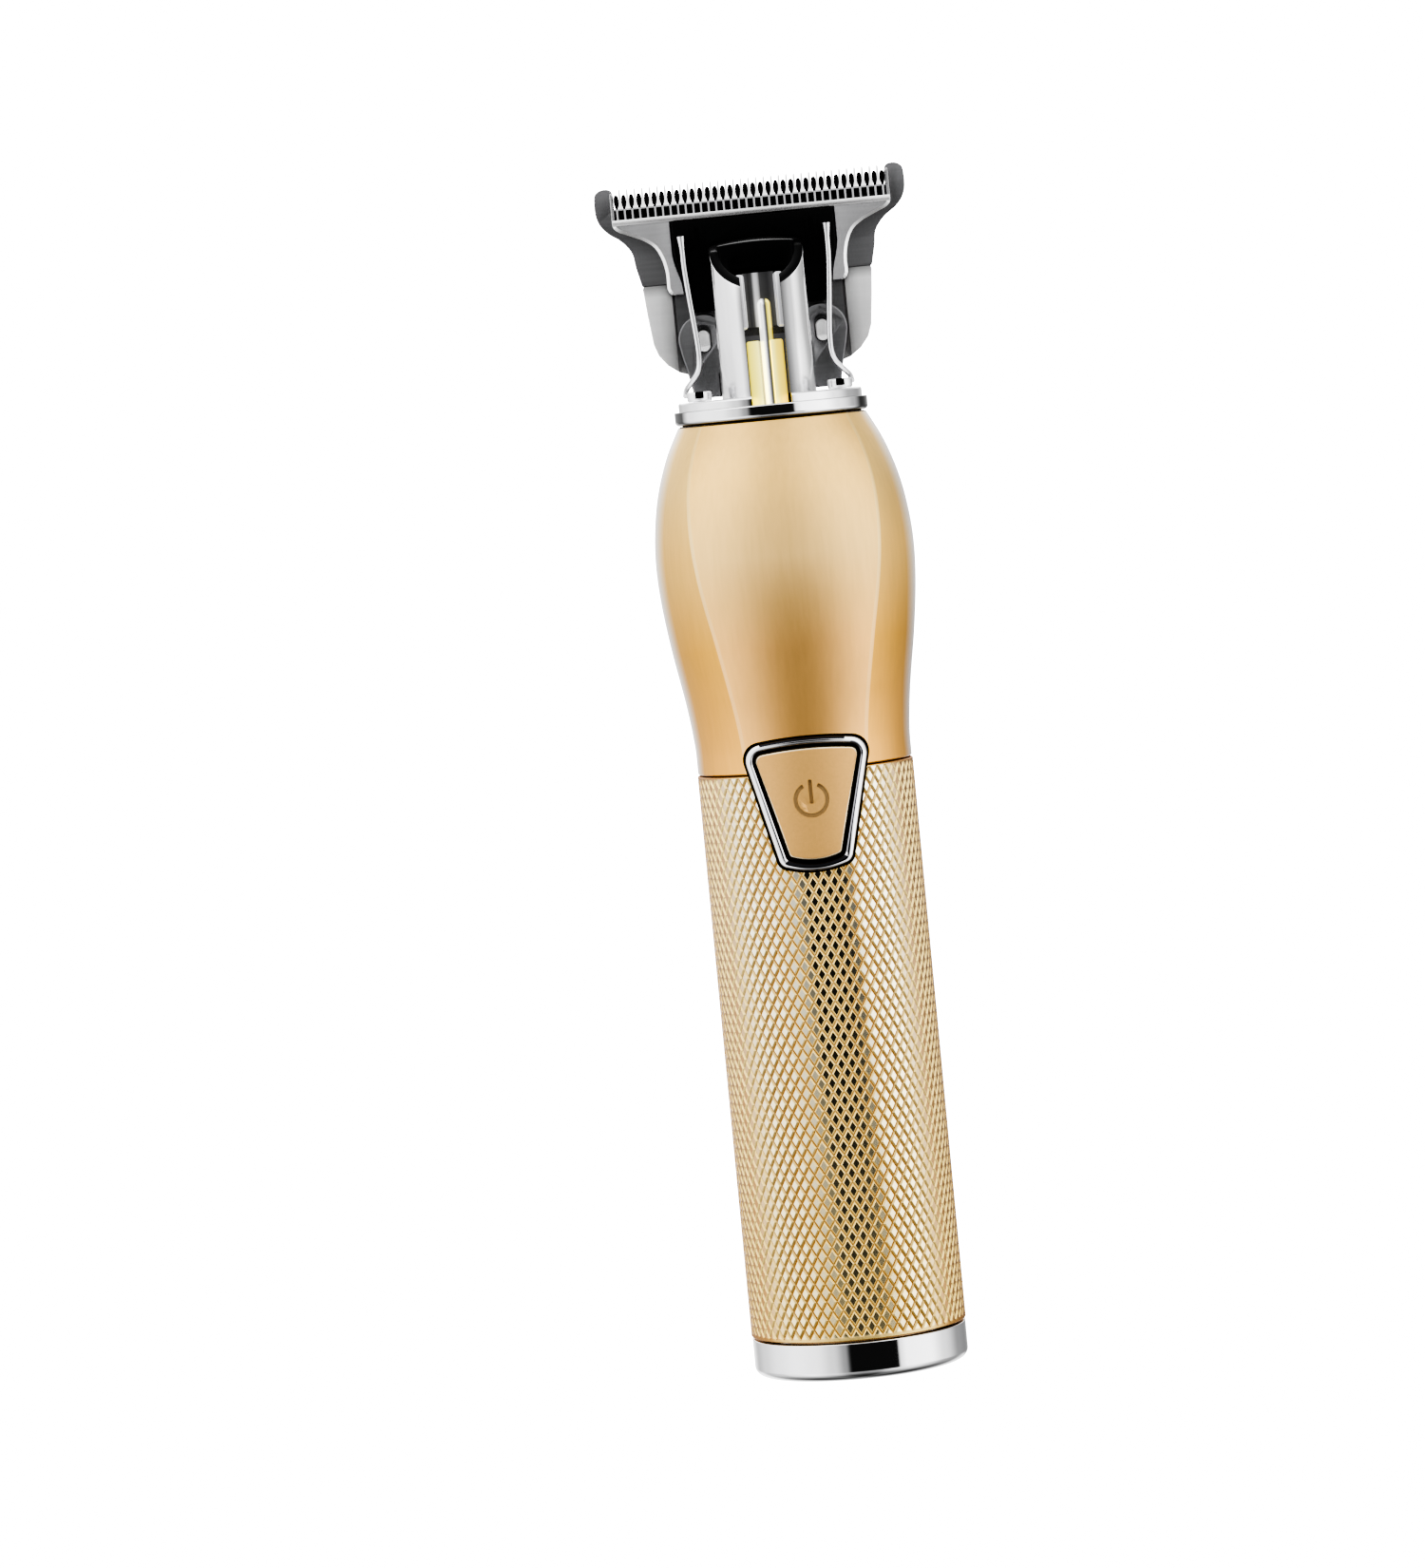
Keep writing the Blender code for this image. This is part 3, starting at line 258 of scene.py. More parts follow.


# gold of the housing and the knurled sleeve
# one gold in three copies: the flanks take a darker copy as painted shade, the creases a
# lighter copy as a painted highlight, and front and flanks a painted white sheen at glancing
# angles
housing_gold("gold_satin", (0.86, 0.56, 0.21), HOUSING_PAINTED_LIGHT)
paint_edge_light("gold_satin", EDGE_WHITE_SHEEN)
housing_gold("gold_flank_shaded", (0.80, 0.47, 0.13), FLANK_PAINTED_LIGHT)
paint_edge_light("gold_flank_shaded", EDGE_WHITE_SHEEN)
housing_gold("gold_crease_highlight", (0.86, 0.60, 0.26), HOUSING_PAINTED_LIGHT)
# one gold in two copies: pale diamond tops, and a deeper gold in the grooves as painted
# shade; both turn darker orange at glancing angles and deeper and darker lower down, also
# painted shade
metal("gold_facet", (1.0, 0.93, 0.74), scale=1800.0, tone=0.03)
paint_edge_light("gold_facet", EDGE_ORANGE_SHADE)
graded("gold_facet", "Z", [(6.0, (1.0, 0.90, 0.66)), (36.0, (1.0, 0.94, 0.80)),
                           (64.0, (1.0, 1.0, 1.0))])
roughened("gold_facet", "Z", [(6.0, 0.22), (30.0, 0.17), (52.0, 0.11), (80.0, 0.08)])
metal("gold_groove", (0.90, 0.72, 0.33), rough=0.46, scale=1800.0, relief=0.05)
paint_edge_light("gold_groove", EDGE_ORANGE_SHADE)
graded("gold_groove", "Z", [(6.0, (0.94, 0.90, 0.78)), (40.0, (0.98, 0.95, 0.90)),
                            (80.0, (1.04, 1.04, 1.06))])
# a lighter gold for the button's rim: a painted highlight
button_gold("gold_edge_highlight", (1.0, 0.86, 0.62), rough=0.40, relief=0.0)

# chrome trim and the gold button
# the collar is painted near black along its bottom edge and at glancing angles: a painted
# dark reflection
chrome("chrome_collar", (0.90, 0.90, 0.91), rough=0.05)
graded("chrome_collar", "Z", [(128.0, 0.02), (128.12, 0.04), (128.40, 1.0), (130.0, 1.0)])
paint_edge_light("chrome_collar", EDGE_BLACK_REFLECTION)
# dark and grey copies of chrome for zones of the button surround: painted reflections
chrome("chrome_reflection_dark", (0.03, 0.03, 0.035), rough=0.10)
chrome("chrome_reflection_grey", (0.30, 0.30, 0.32), rough=0.10)
button_gold("gold_button", (0.80, 0.51, 0.20))
button_gold("gold_shade", (0.58, 0.42, 0.22))
chrome("chrome", (0.88, 0.88, 0.89), rough=0.04)
# the cap is painted lighter at its left and darker towards its right: painted light and shade
chrome("chrome_cap", (0.88, 0.88, 0.89), rough=0.05)
graded("chrome_cap", "X", [(-14.5, 0.92), (-11.0, 1.08), (-6.0, 0.96), (6.0, 0.96),
                           (9.0, 0.90), (14.5, 0.66)])

# the nose and the fork inside it
# the nose is painted lighter at its outer edges and darker beside the channel: painted
# highlights and shade
chrome("chrome_nose", (0.90, 0.90, 0.91), stretch=UPRIGHT)
roughened("chrome_nose", "Z", [(130.0, 0.24), (134.5, 0.20), (138.0, 0.11), (151.0, 0.11)])
graded("chrome_nose", "X", [(-6.4, 1.30), (-5.6, 1.00), (-4.6, 0.84), (-3.4, 0.98),
                            (-2.7, 0.36), (2.65, 0.10), (3.3, 0.24), (4.0, 0.48),
                            (4.6, 1.35), (5.8, 1.70), (6.4, 1.30)])
# the nose's inside is dark and darker towards the top, painted shade, with a faint glow as
# painted light
metal("nose_inside", (0.10, 0.10, 0.105), rough=0.30)
graded("nose_inside", "Z", [(129.0, 0.8), (142.0, 0.7), (146.0, 0.12), (150.0, 0.06)])
paint_glow("nose_inside", strength=0.6)
# the top of the back rim is painted dark grey: painted shade
metal("nose_rim", (0.26, 0.26, 0.26), rough=0.30)
# the fork's prongs and web glow as painted light, and the web carries a light streak as a
# painted highlight
metal("fork_grey", (0.40, 0.40, 0.41), rough=0.30, stretch=(1, 1, 0.3))
paint_glow("fork_grey", strength=0.85)
metal("fork_web", (0.60, 0.60, 0.61), rough=0.40, stretch=(1, 1, 0.3))
graded("fork_web", "X", [(-2.1, 0.22), (-1.4, 0.10), (-0.95, 0.16), (-0.55, 1.0),
                         (-0.2, 0.9), (0.15, 0.16), (1.2, 0.10), (2.1, 0.20)])
paint_glow("fork_web", strength=0.5)

# the blades and their teeth
# the blade base darkens towards the lugs and just under the fixed blade: painted shade and
# shadow
metal("nickel", (0.86, 0.86, 0.86), rough=0.50, stretch=(0.1, 1, 1), scale=1500.0,
      tone=0.02, relief=0.06)
graded("nickel", "X", [(8.5, 0.25), (11.5, 0.55), (13.6, 0.95), (15.6, 1.0)], folded=True)
graded("nickel", "Z", [(131.0, 1.0), (145.6, 1.0), (147.3, 0.35)])
metal("blade_dark", (0.215, 0.215, 0.22), rough=0.42, stretch=CROSSWISE, scale=2200.0,
      tone=0.06, relief=0.10)
# the cutter's face is painted lighter near its inner edge and darker outwards: painted light
# and shade
metal("blade_face", (0.66, 0.66, 0.67), rough=0.42, stretch=CROSSWISE, scale=2200.0,
      tone=0.04, relief=0.08)
graded("blade_face", "X", [(10.0, 1.15), (13.0, 0.92), (19.0, 0.80)], folded=True)
steel("blade_edge", (0.95, 0.95, 0.95), rough=0.30)
# flat black for the cutter's tooth tips, the strip under the fixed teeth and the screw slots:
# painted shade
plastic("tooth_black", (0.0025, 0.0025, 0.003), rough=0.5, specular=0.12)
# the fixed teeth glow white with a darker band below their tips and the ribs glow grey:
# painted light and shade
steel("tooth_white", (0.96, 0.96, 0.96), rough=0.45)
graded("tooth_white", "Z", [(157.8, 1.0), (159.0, 1.0), (159.6, 0.72), (160.5, 0.80)])
paint_glow("tooth_white", strength=0.85)
steel("tooth_rib", (0.52, 0.52, 0.53), rough=0.45)
paint_glow("tooth_rib", strength=0.35)

# screws, pin, wires and the other bare metals
steel("steel", (0.80, 0.80, 0.81), rough=0.14, stretch=UPRIGHT, tone=0.03)
steel("steel_bright", (0.92, 0.92, 0.93), rough=0.30)
# the screw's key is painted lighter below and darker above, painted light and shade, with a
# faint glow
steel("steel_key", (0.90, 0.90, 0.90), rough=0.45)
graded("steel_key", "Z", [(137.7, 1.0), (138.3, 1.0), (138.5, 0.66), (139.9, 0.66),
                          (140.3, 0.52), (141.0, 0.30)])
paint_glow("steel_key", strength=0.35)
# the drive pin is painted with a white highlight at left, a dark centre and a yellow
# reflection of the brass at right, and glows: painted light and reflection
steel("steel_pin", (1.0, 1.0, 1.0), rough=0.22, spread=0.02, stretch=UPRIGHT)
graded("steel_pin", "X", [(-0.56, (0.80, 0.78, 0.66)), (-0.40, (1.0, 0.99, 0.93)),
                          (0.02, (1.0, 1.0, 0.98)), (0.20, (0.42, 0.42, 0.45)),
                          (0.38, (0.10, 0.10, 0.10)), (0.55, (0.12, 0.12, 0.08)),
                          (0.66, (0.86, 0.76, 0.16)), (0.95, (0.88, 0.78, 0.18)),
                          (1.10, (0.60, 0.48, 0.10)), (1.25, (0.10, 0.07, 0.03))])
paint_glow("steel_pin", strength=0.95)
steel("steel_wire", (0.94, 0.94, 0.95), rough=0.34, stretch=UPRIGHT)
metal("zinc", (0.56, 0.57, 0.59), rough=0.34, spread=0.05, scale=500.0, tone=0.08,
      relief=0.05)
metal("brass", (0.92, 0.72, 0.27), rough=0.24, stretch=UPRIGHT, scale=1600.0, tone=0.04)
# the guide's brass colour comes from this ramp with painted light and shade in it: pale at
# left, dark in the middle slot, deeper at right; it also glows as painted light
metal("brass_satin", (1.0, 1.0, 1.0), rough=0.50, stretch=UPRIGHT, scale=1600.0, tone=0.03)
graded("brass_satin", "X", [(-2.45, (0.60, 0.50, 0.06)), (-2.2, (0.90, 0.80, 0.14)),
                            (-1.5, (1.00, 0.90, 0.24)), (-0.95, (1.00, 0.94, 0.34)),
                            (-0.80, (0.40, 0.38, 0.22)), (0.80, (0.40, 0.38, 0.22)),
                            (0.90, (1.00, 0.94, 0.34)), (1.45, (0.94, 0.76, 0.14)),
                            (2.1, (0.86, 0.66, 0.10)), (2.45, (0.60, 0.44, 0.05))])
paint_glow("brass_satin", strength=1.1)
metal("copper", (0.78, 0.38, 0.20), rough=0.30, spread=0.05, stretch=(1, 1, 8), tone=0.10,
      relief=0.2)

# plastics and rubber
plastic("black", (0.004, 0.004, 0.0045), rough=0.42)
plastic("yoke", (0.002, 0.002, 0.0022), rough=0.5, specular=0.12)
plastic("rubber", (0.008, 0.008, 0.008), rough=0.75, scale=1500.0, relief=0.2)
plastic("ferrite", (0.05, 0.05, 0.055), rough=0.65, scale=1200.0, relief=0.25, tone=0.2)
plastic("board", (0.015, 0.15, 0.06), rough=0.40, scale=900.0, relief=0.05, tone=0.25)
plastic("cell", (0.04, 0.16, 0.34), rough=0.30, scale=300.0, relief=0.05, tone=0.08)
plastic("lens", (0.80, 0.83, 0.85), rough=0.12, scale=900.0, relief=0.02, tone=0.03,
        clear=0.7)
plastic("lead_red", (0.50, 0.02, 0.02), rough=0.42)
plastic("lead_black", (0.012, 0.012, 0.012), rough=0.42)

# CAD pieces that keep their shape and only take a material
PLAIN = {
    "zinc": ["motor_can", "motor_plate", "motor_screw_left", "motor_screw_right",
             "battery_tab_negative", "battery_tab_positive", "usb_shell",
             "tact_switch_plunger"],
    "copper": ["armature", "commutator", "motor_terminal_left", "motor_terminal_right"],
    "brass": ["motor_bushing", "eccentric_hub"],
    "steel": ["motor_shaft", "base_screw_left", "base_screw_right"],
    "ferrite": ["magnet_left", "magnet_right"],
    "black": ["chassis_front", "chassis_rear", "usb_insulator", "motor_end_bell",
              "tact_switch_body", "control_chip"],
    "rubber": ["button_seal"],
    "board": ["control_board", "charge_board"],
    "cell": ["battery_cell"],
    "lens": ["charge_light_pipe"],
    "lead_red": ["battery_lead_positive", "charge_lead_positive", "motor_lead_positive"],
    "lead_black": ["battery_lead_negative", "charge_lead_negative", "motor_lead_negative"],
}
for material, names in PLAIN.items():
    for name in names:
        slots = nodes[name].data.materials
        slots.clear()
        slots.append(M[material])


# ============================================================== object utilities
def link_mesh(name, bm):
    """Puts a bmesh into the scene as an object, and frees it."""
    mesh = bpy.data.meshes.new(name)
    bm.to_mesh(mesh)
    bm.free()
    obj = bpy.data.objects.new(name, mesh)
    scene.collection.objects.link(obj)
    return obj


def smooth(obj, sharp):
    """Smooth shading, with edges sharper than an angle in degrees kept sharp."""
    obj.data.shade_smooth()
    obj.data.set_sharp_from_angle(angle=math.radians(sharp))


def make(name, bm, materials, body, replaces=None, sharp=35.0):
    """A visible piece that rides on a body and may stand in for a CAD piece."""
    bmesh.ops.recalc_face_normals(bm, faces=bm.faces)
    obj = link_mesh(name, bm)
    for material in [materials] if isinstance(materials, str) else materials:
        obj.data.materials.append(M[material])
    smooth(obj, sharp)
    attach(obj, body)
    if replaces:
        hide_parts(replaces)
    return obj


def tool(name, bm, material=None):
    """A hidden shape for booleans; the faces it cuts take its material, if any."""
    bmesh.ops.recalc_face_normals(bm, faces=bm.faces)
    obj = link_mesh(name, bm)
    if material:
        obj.data.materials.append(M[material])
    obj.hide_render = True
    obj.hide_viewport = True
    return obj


def apply_modifiers(obj):
    """Bakes an object's modifiers into its mesh."""
    bpy.context.view_layer.update()
    graph = bpy.context.evaluated_depsgraph_get()
    mesh = bpy.data.meshes.new_from_object(obj.evaluated_get(graph), depsgraph=graph)
    old = obj.data
    obj.modifiers.clear()
    obj.data = mesh
    bpy.data.meshes.remove(old)


def boolean(obj, form, operation):
    modifier = obj.modifiers.new(operation, "BOOLEAN")
    modifier.operation = operation
    modifier.solver = "EXACT"
    modifier.object = form
    modifier.material_mode = "TRANSFER" if len(form.data.materials) else "INDEX"
    form.hide_viewport = False            # a hidden tool would not be evaluated
    apply_modifiers(obj)
    form.hide_viewport = True


def cut(obj, form):
    boolean(obj, form, "DIFFERENCE")


def fuse(obj, form):
    boolean(obj, form, "UNION")


def bevel(obj, width, segments, angle):
    """Rounds the edges sharper than an angle in degrees."""
    modifier = obj.modifiers.new("Bevel", "BEVEL")
    modifier.width = width * MM
    modifier.segments = segments
    modifier.limit_method = "ANGLE"
    modifier.angle_limit = math.radians(angle)
    modifier.miter_outer = "MITER_ARC"
    apply_modifiers(obj)
    smooth(obj, 40)


# ================================================================ mesh utilities
def add_ring(bm, points):
    return [bm.verts.new((x * MM, y * MM, z * MM)) for x, y, z in points]


def bridge(bm, first, second):
    """Quads between two closed rings of as many vertices, in ring order."""
    faces = []
    for k in range(len(first)):
        after = (k + 1) % len(first)
        faces.append(bm.faces.new((first[k], first[after], second[after], second[k])))
    return faces


def lathe(profile, segments, centre=(0.0, 0.0)):
    """A solid of revolution about an upright axis from (radius, height) points."""
    bm = bmesh.new()
    verts = [bm.verts.new((radius * MM, 0.0, height * MM)) for radius, height in profile]
    edges = [bm.edges.new(pair) for pair in zip(verts, verts[1:])]
    if profile[0][0] > 0 or profile[-1][0] > 0:
        edges.append(bm.edges.new((verts[-1], verts[0])))
    bmesh.ops.spin(bm, geom=verts + edges, cent=(0, 0, 0), axis=(0, 0, 1),
                   angle=2 * math.pi, steps=segments, use_merge=True)
    bmesh.ops.remove_doubles(bm, verts=bm.verts, dist=1e-7)
    bm.transform(Matrix.Translation((centre[0] * MM, centre[1] * MM, 0.0)))
    return bm


def rod(radius, low, high, segments, centre=(0.0, 0.0)):
    return lathe([(0, low), (radius, low), (radius, high), (0, high)], segments, centre)


def face_front(bm, x, z):
    """Lays an upright form down so that its top points to -Y, with its axis at x, z."""
    bm.transform(Matrix.Translation((x * MM, 0, z * MM))
                 @ Matrix.Rotation(math.radians(90), 4, "X"))
    return bm


def bend(centre_x, centre_y, reach_x, reach_y, degrees):
    """Points of an elliptic arc at the given angles, for lathe profiles."""
    return [(centre_x + reach_x * math.cos(math.radians(a)),
             centre_y + reach_y * math.sin(math.radians(a))) for a in degrees]


def circle(centre_x, centre_y, radius, segments, start=0.0, end=360.0):
    """Points of a circle, or of an arc with both its ends."""
    count = segments if abs(end - start) >= 360 else segments + 1
    return bend(centre_x, centre_y, radius, radius,
                [start + (end - start) * k / segments for k in range(count)])


def oblong(x, low, high, radius, segments):
    """An upright slot outline: arcs about (x, high) and (x, low)."""
    return (circle(x, high, radius, segments, 0, 180)
            + circle(x, low, radius, segments, 180, 360))


def round_corners(points, radii, steps):
    """A closed outline with each corner rounded by its radius."""
    out = []
    for i, (point, radius) in enumerate(zip(points, radii)):
        corner = Vector(point)
        back = (Vector(points[i - 1]) - corner).normalized()
        ahead = (Vector(points[(i + 1) % len(points)]) - corner).normalized()
        half = math.acos(max(-1, min(1, back.dot(ahead)))) / 2
        reach = radius / math.tan(half)
        centre = corner + (back + ahead).normalized() * (radius / math.sin(half))
        start = corner + back * reach - centre
        sweep = start.angle_signed(corner + ahead * reach - centre)
        for k in range(steps + 1):
            turn = -sweep * k / steps
            cos, sin = math.cos(turn), math.sin(turn)
            out.append((centre.x + start.x * cos - start.y * sin,
                        centre.y + start.x * sin + start.y * cos))
    return out


def rectangle(x_low, x_high, low, high):
    return [(x_low, low), (x_high, low), (x_high, high), (x_low, high)]


def plate(outline, low, high, axis="Y"):
    """An outline extruded along Y (its points are x, z) or Z (its points are x, y)."""
    bm = bmesh.new()
    if axis == "Y":
        verts = [bm.verts.new((a * MM, low * MM, b * MM)) for a, b in outline]
        step = Vector((0.0, (high - low) * MM, 0.0))
    else:
        verts = [bm.verts.new((a * MM, b * MM, low * MM)) for a, b in outline]
        step = Vector((0.0, 0.0, (high - low) * MM))
    grown = bmesh.ops.extrude_face_region(bm, geom=[bm.faces.new(verts)])["geom"]
    bmesh.ops.translate(bm, vec=step,
                        verts=[g for g in grown if isinstance(g, bmesh.types.BMVert)])
    return bm


def brick(x, y, z):
    """A block between two values on each axis."""
    return plate(rectangle(*sorted(x), *y), *z, "Z")


def mirror(right_half):
    """A right half outline followed by its mirror image, x = 0 points once only."""
    return right_half + [(-x, z) for x, z in reversed(right_half) if abs(x) > 1e-9]


def merged(forms):
    """One bmesh out of several."""
    whole = bmesh.new()
    for form in forms:
        mesh = bpy.data.meshes.new("part_form")
        form.to_mesh(mesh)
        form.free()
        whole.from_mesh(mesh)
        bpy.data.meshes.remove(mesh)
    return whole


def between(stations, z):
    """Smooth value at height z from (z, value) stations."""
    if z <= stations[0][0]:
        return stations[0][1]
    if z >= stations[-1][0]:
        return stations[-1][1]
    i = next(k for k in range(len(stations) - 1) if z <= stations[k + 1][0])
    z0, v0 = stations[i]
    z1, v1 = stations[i + 1]
    before = stations[i - 1] if i else (2 * z0 - z1, 2 * v0 - v1)
    after = stations[i + 2] if i + 2 < len(stations) else (2 * z1 - z0, 2 * v1 - v0)
    slope0 = (v1 - before[1]) / (z1 - before[0]) * (z1 - z0)
    slope1 = (after[1] - v0) / (after[0] - z0) * (z1 - z0)
    t = (z - z0) / (z1 - z0)
    return ((2 * t**3 - 3 * t**2 + 1) * v0 + (t**3 - 2 * t**2 + t) * slope0
            + (-2 * t**3 + 3 * t**2) * v1 + (t**3 - t**2) * slope1)


def spline(points, steps):
    """Points on a smooth open curve through the given points (Catmull-Rom)."""
    pts = [Vector(p) for p in points]
    out = []
    for i in range(len(pts) - 1):
        p1, p2 = pts[i], pts[i + 1]
        p0 = pts[i - 1] if i else p1 * 2 - p2
        p3 = pts[i + 2] if i + 2 < len(pts) else p2 * 2 - p1
        for k in range(steps):
            t = k / steps
            out.append(0.5 * (2 * p1 + (p2 - p0) * t + (2 * p0 - 5 * p1 + 4 * p2 - p3) * t * t
                              + (3 * p1 - p0 - 3 * p2 + p3) * t**3))
    out.append(pts[-1])
    return out


def tube(path, radii, segments):
    """A round wire swept along a path of vectors, with flat ends."""
    bm = bmesh.new()
    rings = []
    for i, (point, radius) in enumerate(zip(path, radii)):
        along = (path[min(i + 1, len(path) - 1)] - path[max(i - 1, 0)]).normalized()
        side = along.cross(Vector((0.0, 1.0, 0.0))).normalized()
        out = side.cross(along).normalized()
        turns = [2 * math.pi * k / segments for k in range(segments)]
        rings.append([bm.verts.new((point + side * (radius * math.cos(turn))
                                    + out * (radius * math.sin(turn))) * MM)
                      for turn in turns])
    for lower, upper in zip(rings, rings[1:]):
        bridge(bm, lower, upper)
    bm.faces.new(list(reversed(rings[0])))
    bm.faces.new(rings[-1])
    return bm


# ======================================================================= end cap
CAP_R = 14.4
CAP_FOOT_R, CAP_FOOT_H = 12.9, 1.3        # where the rounded foot starts and ends

cap = make("end_cap_shell", lathe(
    [(0, 0), (CAP_FOOT_R, 0)]
    + bend(CAP_FOOT_R, CAP_FOOT_H, CAP_R - CAP_FOOT_R, CAP_FOOT_H, range(-84, 1, 6))
    + [(CAP_R, 1.36), (CAP_R, 3.2), (CAP_R, 4.94), (CAP_R, 4.98), (14.36, 5.05),
       (14.28, 5.1), (13.1, 5.1), (13.05, 8.0), (11.9, 8.0), (11.9, 1.4), (0, 1.4)], 160),
    "chrome_cap", "handle", "end_cap")
cut(cap, tool("port_cut_form", plate(
    round_corners(rectangle(-4.0, 4.0, 3.65, 6.75), [0.9] * 4, 6), -1.0, 3.0, "Z")))
cut(cap, tool("lamp_cut_form", plate(circle(7.0, 5.2, 1.0, 32), -1.0, 3.0, "Z")))
bevel(cap, width=0.10, segments=2, angle=60)

# ================================================================ knurled sleeve
GRIP_R, GRIP_IN = 14.5, 13.4              # outer radius, bore radius
GRIP_LOW, GRIP_HIGH = 5.4, 81.2
GRIP_CHAMFER = 0.12
KNURL_COUNT = 63                          # diamonds round the sleeve
KNURL_ROWS = 62                           # half-pitch rows up the sleeve
KNURL_LOW, KNURL_HIGH = 5.95, 80.95
GROOVE_DEEP, GROOVE_HALF = 0.19, 0.252    # depth, half width
FLANK_SHARE, FLANK_DEEP = 0.62, 0.045     # a step on the groove's flank


def knurl_sleeve():
    """A turned sleeve with crossed V grooves that leave flat-topped diamonds. The
    grooves cross on a grid of half pitches k round and j up, where k + j is even."""
    bm = bmesh.new()
    columns = 2 * KNURL_COUNT
    half_width = GRIP_R * math.pi / KNURL_COUNT
    step = (KNURL_HIGH - KNURL_LOW) / KNURL_ROWS
    inradius = half_width * step / math.hypot(half_width, step)
    top_scale = 1 - GROOVE_HALF / inradius
    flank_scale = 1 - FLANK_SHARE * GROOVE_HALF / inradius

    def point(k, z, radius):
        a = 2 * math.pi * k / columns
        return bm.verts.new((radius * math.sin(a) * MM, -radius * math.cos(a) * MM, z * MM))

    crossing = {}
    for j in range(KNURL_ROWS + 1):
        for k in range(j % 2, columns, 2):
            crossing[k, j] = point(k, KNURL_LOW + j * step, GRIP_R - GROOVE_DEEP)

    low_rim, high_rim = [], []
    for j in range(KNURL_ROWS + 1):
        z = KNURL_LOW + j * step
        for k in range(1 - j % 2, columns, 2):
            left, right = crossing[(k - 1) % columns, j], crossing[(k + 1) % columns, j]
            rings = []
            for scale, radius in ((flank_scale, GRIP_R - FLANK_DEEP), (top_scale, GRIP_R)):
                ring = [(k - scale, z), (k, z - step * scale), (k + scale, z),
                        (k, z + step * scale)]
                if j == 0:
                    ring.pop(1)
                elif j == KNURL_ROWS:
                    ring.pop(3)
                rings.append([point(column, height, radius) for column, height in ring])
            if j == 0:
                outer = [left, right, crossing[k, 1]]
            elif j == KNURL_ROWS:
                outer = [left, crossing[k, j - 1], right]
            else:
                outer = [left, crossing[k, j - 1], right, crossing[k, j + 1]]
            flank, top = rings
            for a, b in ((outer, flank), (flank, top)):
                for i in range(len(outer)):
                    if j == 0 and i == 0 or j == KNURL_ROWS and i == 2:
                        continue          # the cut base of a half diamond
                    after = (i + 1) % len(outer)
                    bm.faces.new((a[i], a[after], b[after], b[i]))
            # the diamond tops take the pale gold and the grooves the deeper gold: painted
            # shade in the grooves
            bm.faces.new(top).material_index = 1
            if j == 0:
                low_rim += [left, flank[0], top[0], top[1], flank[1]]
            if j == KNURL_ROWS:
                high_rim += [left, flank[0], top[0], top[2], flank[2]]

    # plain bands below and above, each with its chamfered end, then the bore
    bore = []
    for rim, band_z, end_z, sign in ((low_rim, KNURL_LOW - 0.12, GRIP_LOW, -1),
                                     (high_rim, KNURL_HIGH + 0.05, GRIP_HIGH, 1)):
        angles = [math.atan2(v.co.x, -v.co.y) for v in rim]
        previous = rim
        for radius, z in ((GRIP_R, band_z), (GRIP_R, end_z - sign * GRIP_CHAMFER),
                          (GRIP_R - GRIP_CHAMFER, end_z), (GRIP_IN, end_z)):
            ring = add_ring(bm, [(radius * math.sin(a), -radius * math.cos(a), z)
                                 for a in angles])
            bridge(bm, previous, ring)
            previous = ring
        bore.append(previous)
    bridge(bm, *bore)
    bmesh.ops.remove_doubles(bm, verts=bm.verts, dist=2e-7)
    return bm


SIDE_STEPS, CORNER_STEPS = 14, 9          # steps along each side and each corner


def shield(top, bottom, z_low, z_high, r_top, r_bottom, bow):
    """The button's outline: a trapezium of two half widths, wider at the top, with
    bowed ends and rounded corners. Points run bottom, right, top, left, always as
    many, so that two outlines of this kind can be bridged point by point."""
    sides = [
        lambda t: Vector((-bottom + 2 * bottom * t,
                          z_low - 1.2 * bow * (1 - (2 * t - 1) ** 2))),
        lambda t: Vector((bottom + (top - bottom) * t, z_low + (z_high - z_low) * t)),
        lambda t: Vector((top - 2 * top * t, z_high + 1.1 * bow * (1 - (2 * t - 1) ** 2))),
        lambda t: Vector((-top + (top - bottom) * t, z_high - (z_high - z_low) * t)),
    ]
    radii = [r_bottom, r_bottom, r_top, r_top]     # at the start of each side
    slant = math.hypot(top - bottom, z_high - z_low)
    lengths = [2 * bottom, slant, 2 * top, slant]
    reach = []                            # how far each rounding runs along its sides
    for i in range(4):
        back = (sides[i - 1](0.97) - sides[i](0)).normalized()
        ahead = (sides[i](0.03) - sides[i](0)).normalized()
        half = math.acos(max(-1, min(1, back.dot(ahead)))) / 2
        reach.append(radii[i] / math.tan(half))
    out = []
    for i in range(4):
        after = (i + 1) % 4
        start = reach[i] / lengths[i]
        end = 1 - reach[after] / lengths[i]
        out += [sides[i](start + (end - start) * k / SIDE_STEPS)
                for k in range(SIDE_STEPS + 1)]
        resume = reach[after] / lengths[after]
        a, b = sides[i](end), sides[after](resume)
        leave = (sides[i](end + 0.01) - sides[i](end - 0.01)).normalized()
        arrive = (sides[after](resume + 0.01) - sides[after](resume - 0.01)).normalized()
        pull = 0.56 * reach[after]
        for k in range(1, CORNER_STEPS):
            t = k / CORNER_STEPS
            out.append((1 - t)**3 * a + 3 * (1 - t)**2 * t * (a + leave * pull)
                       + 3 * (1 - t) * t * t * (b - arrive * pull) + t**3 * b)
    return [tuple(p) for p in out]


